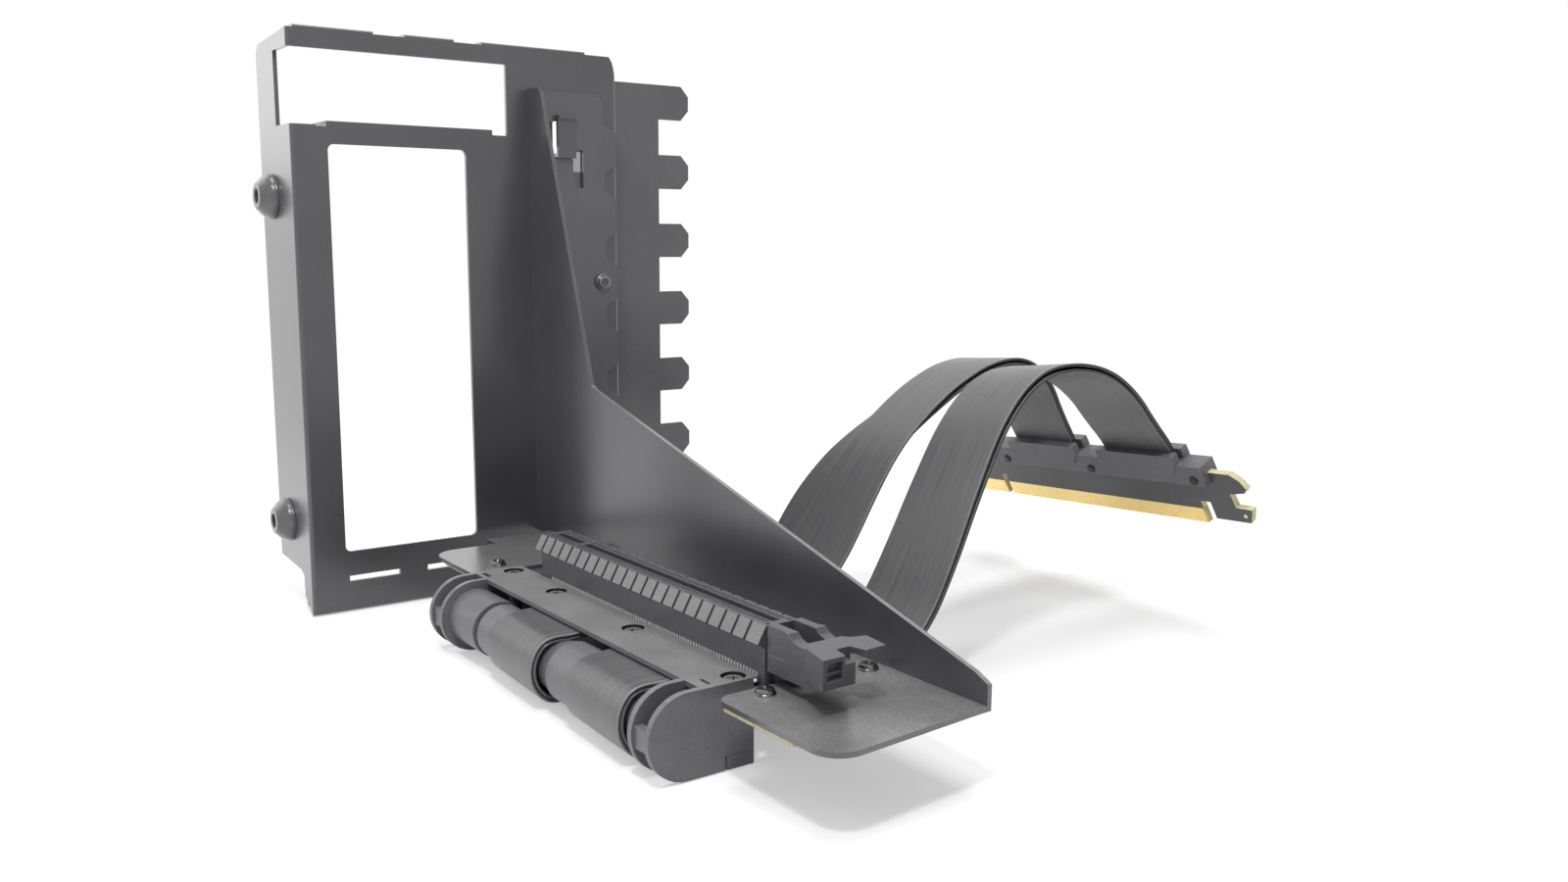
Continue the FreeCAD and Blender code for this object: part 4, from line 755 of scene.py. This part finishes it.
# Painted shade: the layers' sides in the arch are drawn near black; on the drum they keep the jacket.
jacket_side = grained("jacket_side", (0.018, 0.018, 0.02), (0.036, 0.036, 0.039), rough=(0.5, 0.6),
                      fleck=2000.0, patch=150.0, relief=0.00002)


def smooth(share):
    """0 to 1 with a soft start and end."""
    share = min(1.0, max(0.0, share))
    return share * share * (3 - 2 * share)


def smooth_line(name, route):
    """Points read from a smooth line that has the route's points as its control points."""
    line = bpy.data.curves.new(name, "CURVE")
    line.dimensions = "3D"
    spline = line.splines.new("NURBS")
    spline.points.add(len(route) - 1)
    for point, spot in zip(spline.points, route):
        point.co = (*metres(spot), 1)
    spline.order_u = 3
    spline.use_endpoint_u = True
    spline.resolution_u = 12
    holder = bpy.data.objects.new(name, line)
    scene.collection.objects.link(holder)
    bpy.context.view_layer.update()
    track = bpy.data.meshes.new_from_object(holder.evaluated_get(bpy.context.evaluated_depsgraph_get()))
    bpy.data.objects.remove(holder)
    return [vertex.co.copy() for vertex in track.vertices]


def layer_outline():
    """One layer's section, as offsets across it and out of it: over its top, then back below."""
    half, thick = RIBBON_WIDE / 2, LAYER_THICK / 2
    outline = [(-half, 0), (-half + SIDE_IN, thick * SIDE_SHARE), (-half + RIM_IN, thick)]
    outline += [(half * k / 4, thick) for k in (-3, -2, -1, 0, 1, 2, 3)]
    outline += [(half - RIM_IN, thick), (half - SIDE_IN, thick * SIDE_SHARE), (half, 0)]
    return outline + [(offset, -rise) for offset, rise in reversed(outline[1:-1])]


def ribbon(name, node, route, upper_slip, lower_slip, lean):
    """A stack of two flat layers, which slip sideways in the arch; lean points across them there."""
    path = smooth_line(name + "_line", route)
    run = [0.0]
    for before, after in zip(path, path[1:]):
        run.append(run[-1] + (after - before).length)
    free = next(gone for gone, spot in zip(run, path) if spot.y > ARCH_START)
    outline = layer_outline()
    ring = len(outline)
    tip = ring // 2
    shade_sides = (0, tip - 1, tip, ring - 1)
    highlight_rims = (1, tip - 2, tip + 1, ring - 2)
    verts, lays, faces, tints = [], [], [], []
    for side, slip in ((-1, lower_slip), (1, upper_slip)):
        first = len(verts)
        for index, (gone, spot) in enumerate(zip(run, path)):
            along = (path[min(index + 1, len(path) - 1)] - path[max(index - 1, 0)]).normalized()
            share = max(0.0, (gone - free) / (run[-1] - free))
            across = Vector((1, 0, 0)).lerp(lean, smooth((share - LEAN_FROM) / LEAN_OVER))
            across = across.lerp(plug_along, smooth((share - MEET_FROM) / MEET_OVER))
            across = (across - along * across.dot(along)).normalized()
            out = along.cross(across)
            spread = side * (LAYER_STEP + LAYER_SWELL * math.sin(math.pi * min(1.0, share)))
            bow = math.sin(math.pi * min(1.0, share / SLIP_END))
            drift = bow * bow * slip
            held = RIGHT_HELD if side > 0 else 0.0
            loose = ROLL_LOOSE * smooth((ROLL_START - spot.y) / ROLL_EASE)
            for offset, rise in outline:
                from_left = offset / RIBBON_WIDE + 0.5
                lift = loose * (LOOSE_LEFT + (1 - LOOSE_LEFT) * from_left)
                sideways = offset + drift * (1 - held * from_left)
                verts.append(spot + across * sideways + out * (rise + spread + lift))
                lays.append((offset, gone, side))
        for index in range(len(path) - 1):
            low = first + index * ring
            rolled = path[index].y < ROLL_END
            for k in range(ring):
                after = (k + 1) % ring
                faces.append((low + k, low + after, low + ring + after, low + ring + k))
                tints.append(RIM if k in highlight_rims else SIDE if k in shade_sides and not rolled else FACE)
        faces.append([first + k for k in reversed(range(ring))])
        faces.append([len(verts) - ring + k for k in range(ring)])
        tints += [FACE, FACE]
    piece = mesh_piece(name, verts, faces, [jacket, jacket_rim, jacket_side])
    for face, tint in zip(piece.data.polygons, tints):
        face.material_index = tint
    shape = bmesh.new()
    shape.from_mesh(piece.data)
    bmesh.ops.recalc_face_normals(shape, faces=shape.faces)
    into_mesh(shape, piece, ROUND_SHARP)
    stored = piece.data.attributes.new("wire_lay", "FLOAT_VECTOR", "POINT")
    for index, value in enumerate(lays):
        stored.data[index].vector = value
    settle(piece, "mount")
    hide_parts(node)


ribbon("ribbon_stack_left", "ribbon_left", [
    (6, -23.7, 14.375), (6, -40.51, 14.375), (6, -44.2, 10.685), (6, -44.2, 5.465), (6, -40.51, 1.775),
    (6, -30.2, 1.825), (6, -12.2, 2.275), (6, 5.8, 3.8), (4.7, 21.5, 6.4), (2, 33, 16.6),
    (0.8, 40.6, 26.9), (1.3, 46.2, 34.6), (3, 53, 43.2), (5.1, 61.8, 51), (6.2, 71.2, 57.4),
    (6.5, 82, 62.2), (6.65, 93.5, 63), (6.7, 101.8, 57.4), (6.76, 107, 48.4), (6.8, 112.24, 40.88),
    (7.35, 114.75, 36.26)],
    upper_slip=-0.0052, lower_slip=0.0052, lean=Vector((0.99, -0.09, 0.09)))
ribbon("ribbon_stack_right", "ribbon_right", [
    (41.1, -23.7, 14.375), (41.1, -40.51, 14.375), (41.1, -44.2, 10.685), (41.1, -44.2, 5.465),
    (41.1, -40.51, 1.775), (41.1, -30.2, 1.825), (41.1, -12.2, 2.275), (41.1, 5.8, 3.8),
    (41.04, 18.5, 5.4), (40.99, 29, 13.2), (40.95, 36.4, 25.9), (40.92, 43.2, 39.5), (40.87, 51.4, 54.2),
    (40.82, 61.2, 63.1), (40.76, 72.5, 64.9), (40.7, 84.5, 63), (40.64, 94.2, 57.4), (40.6, 101.6, 50),
    (40.58, 109.09, 43.19), (41.13, 111.62, 38.57)],
    upper_slip=-0.0004, lower_slip=0, lean=Vector((0.985, -0.09, 0.125)))
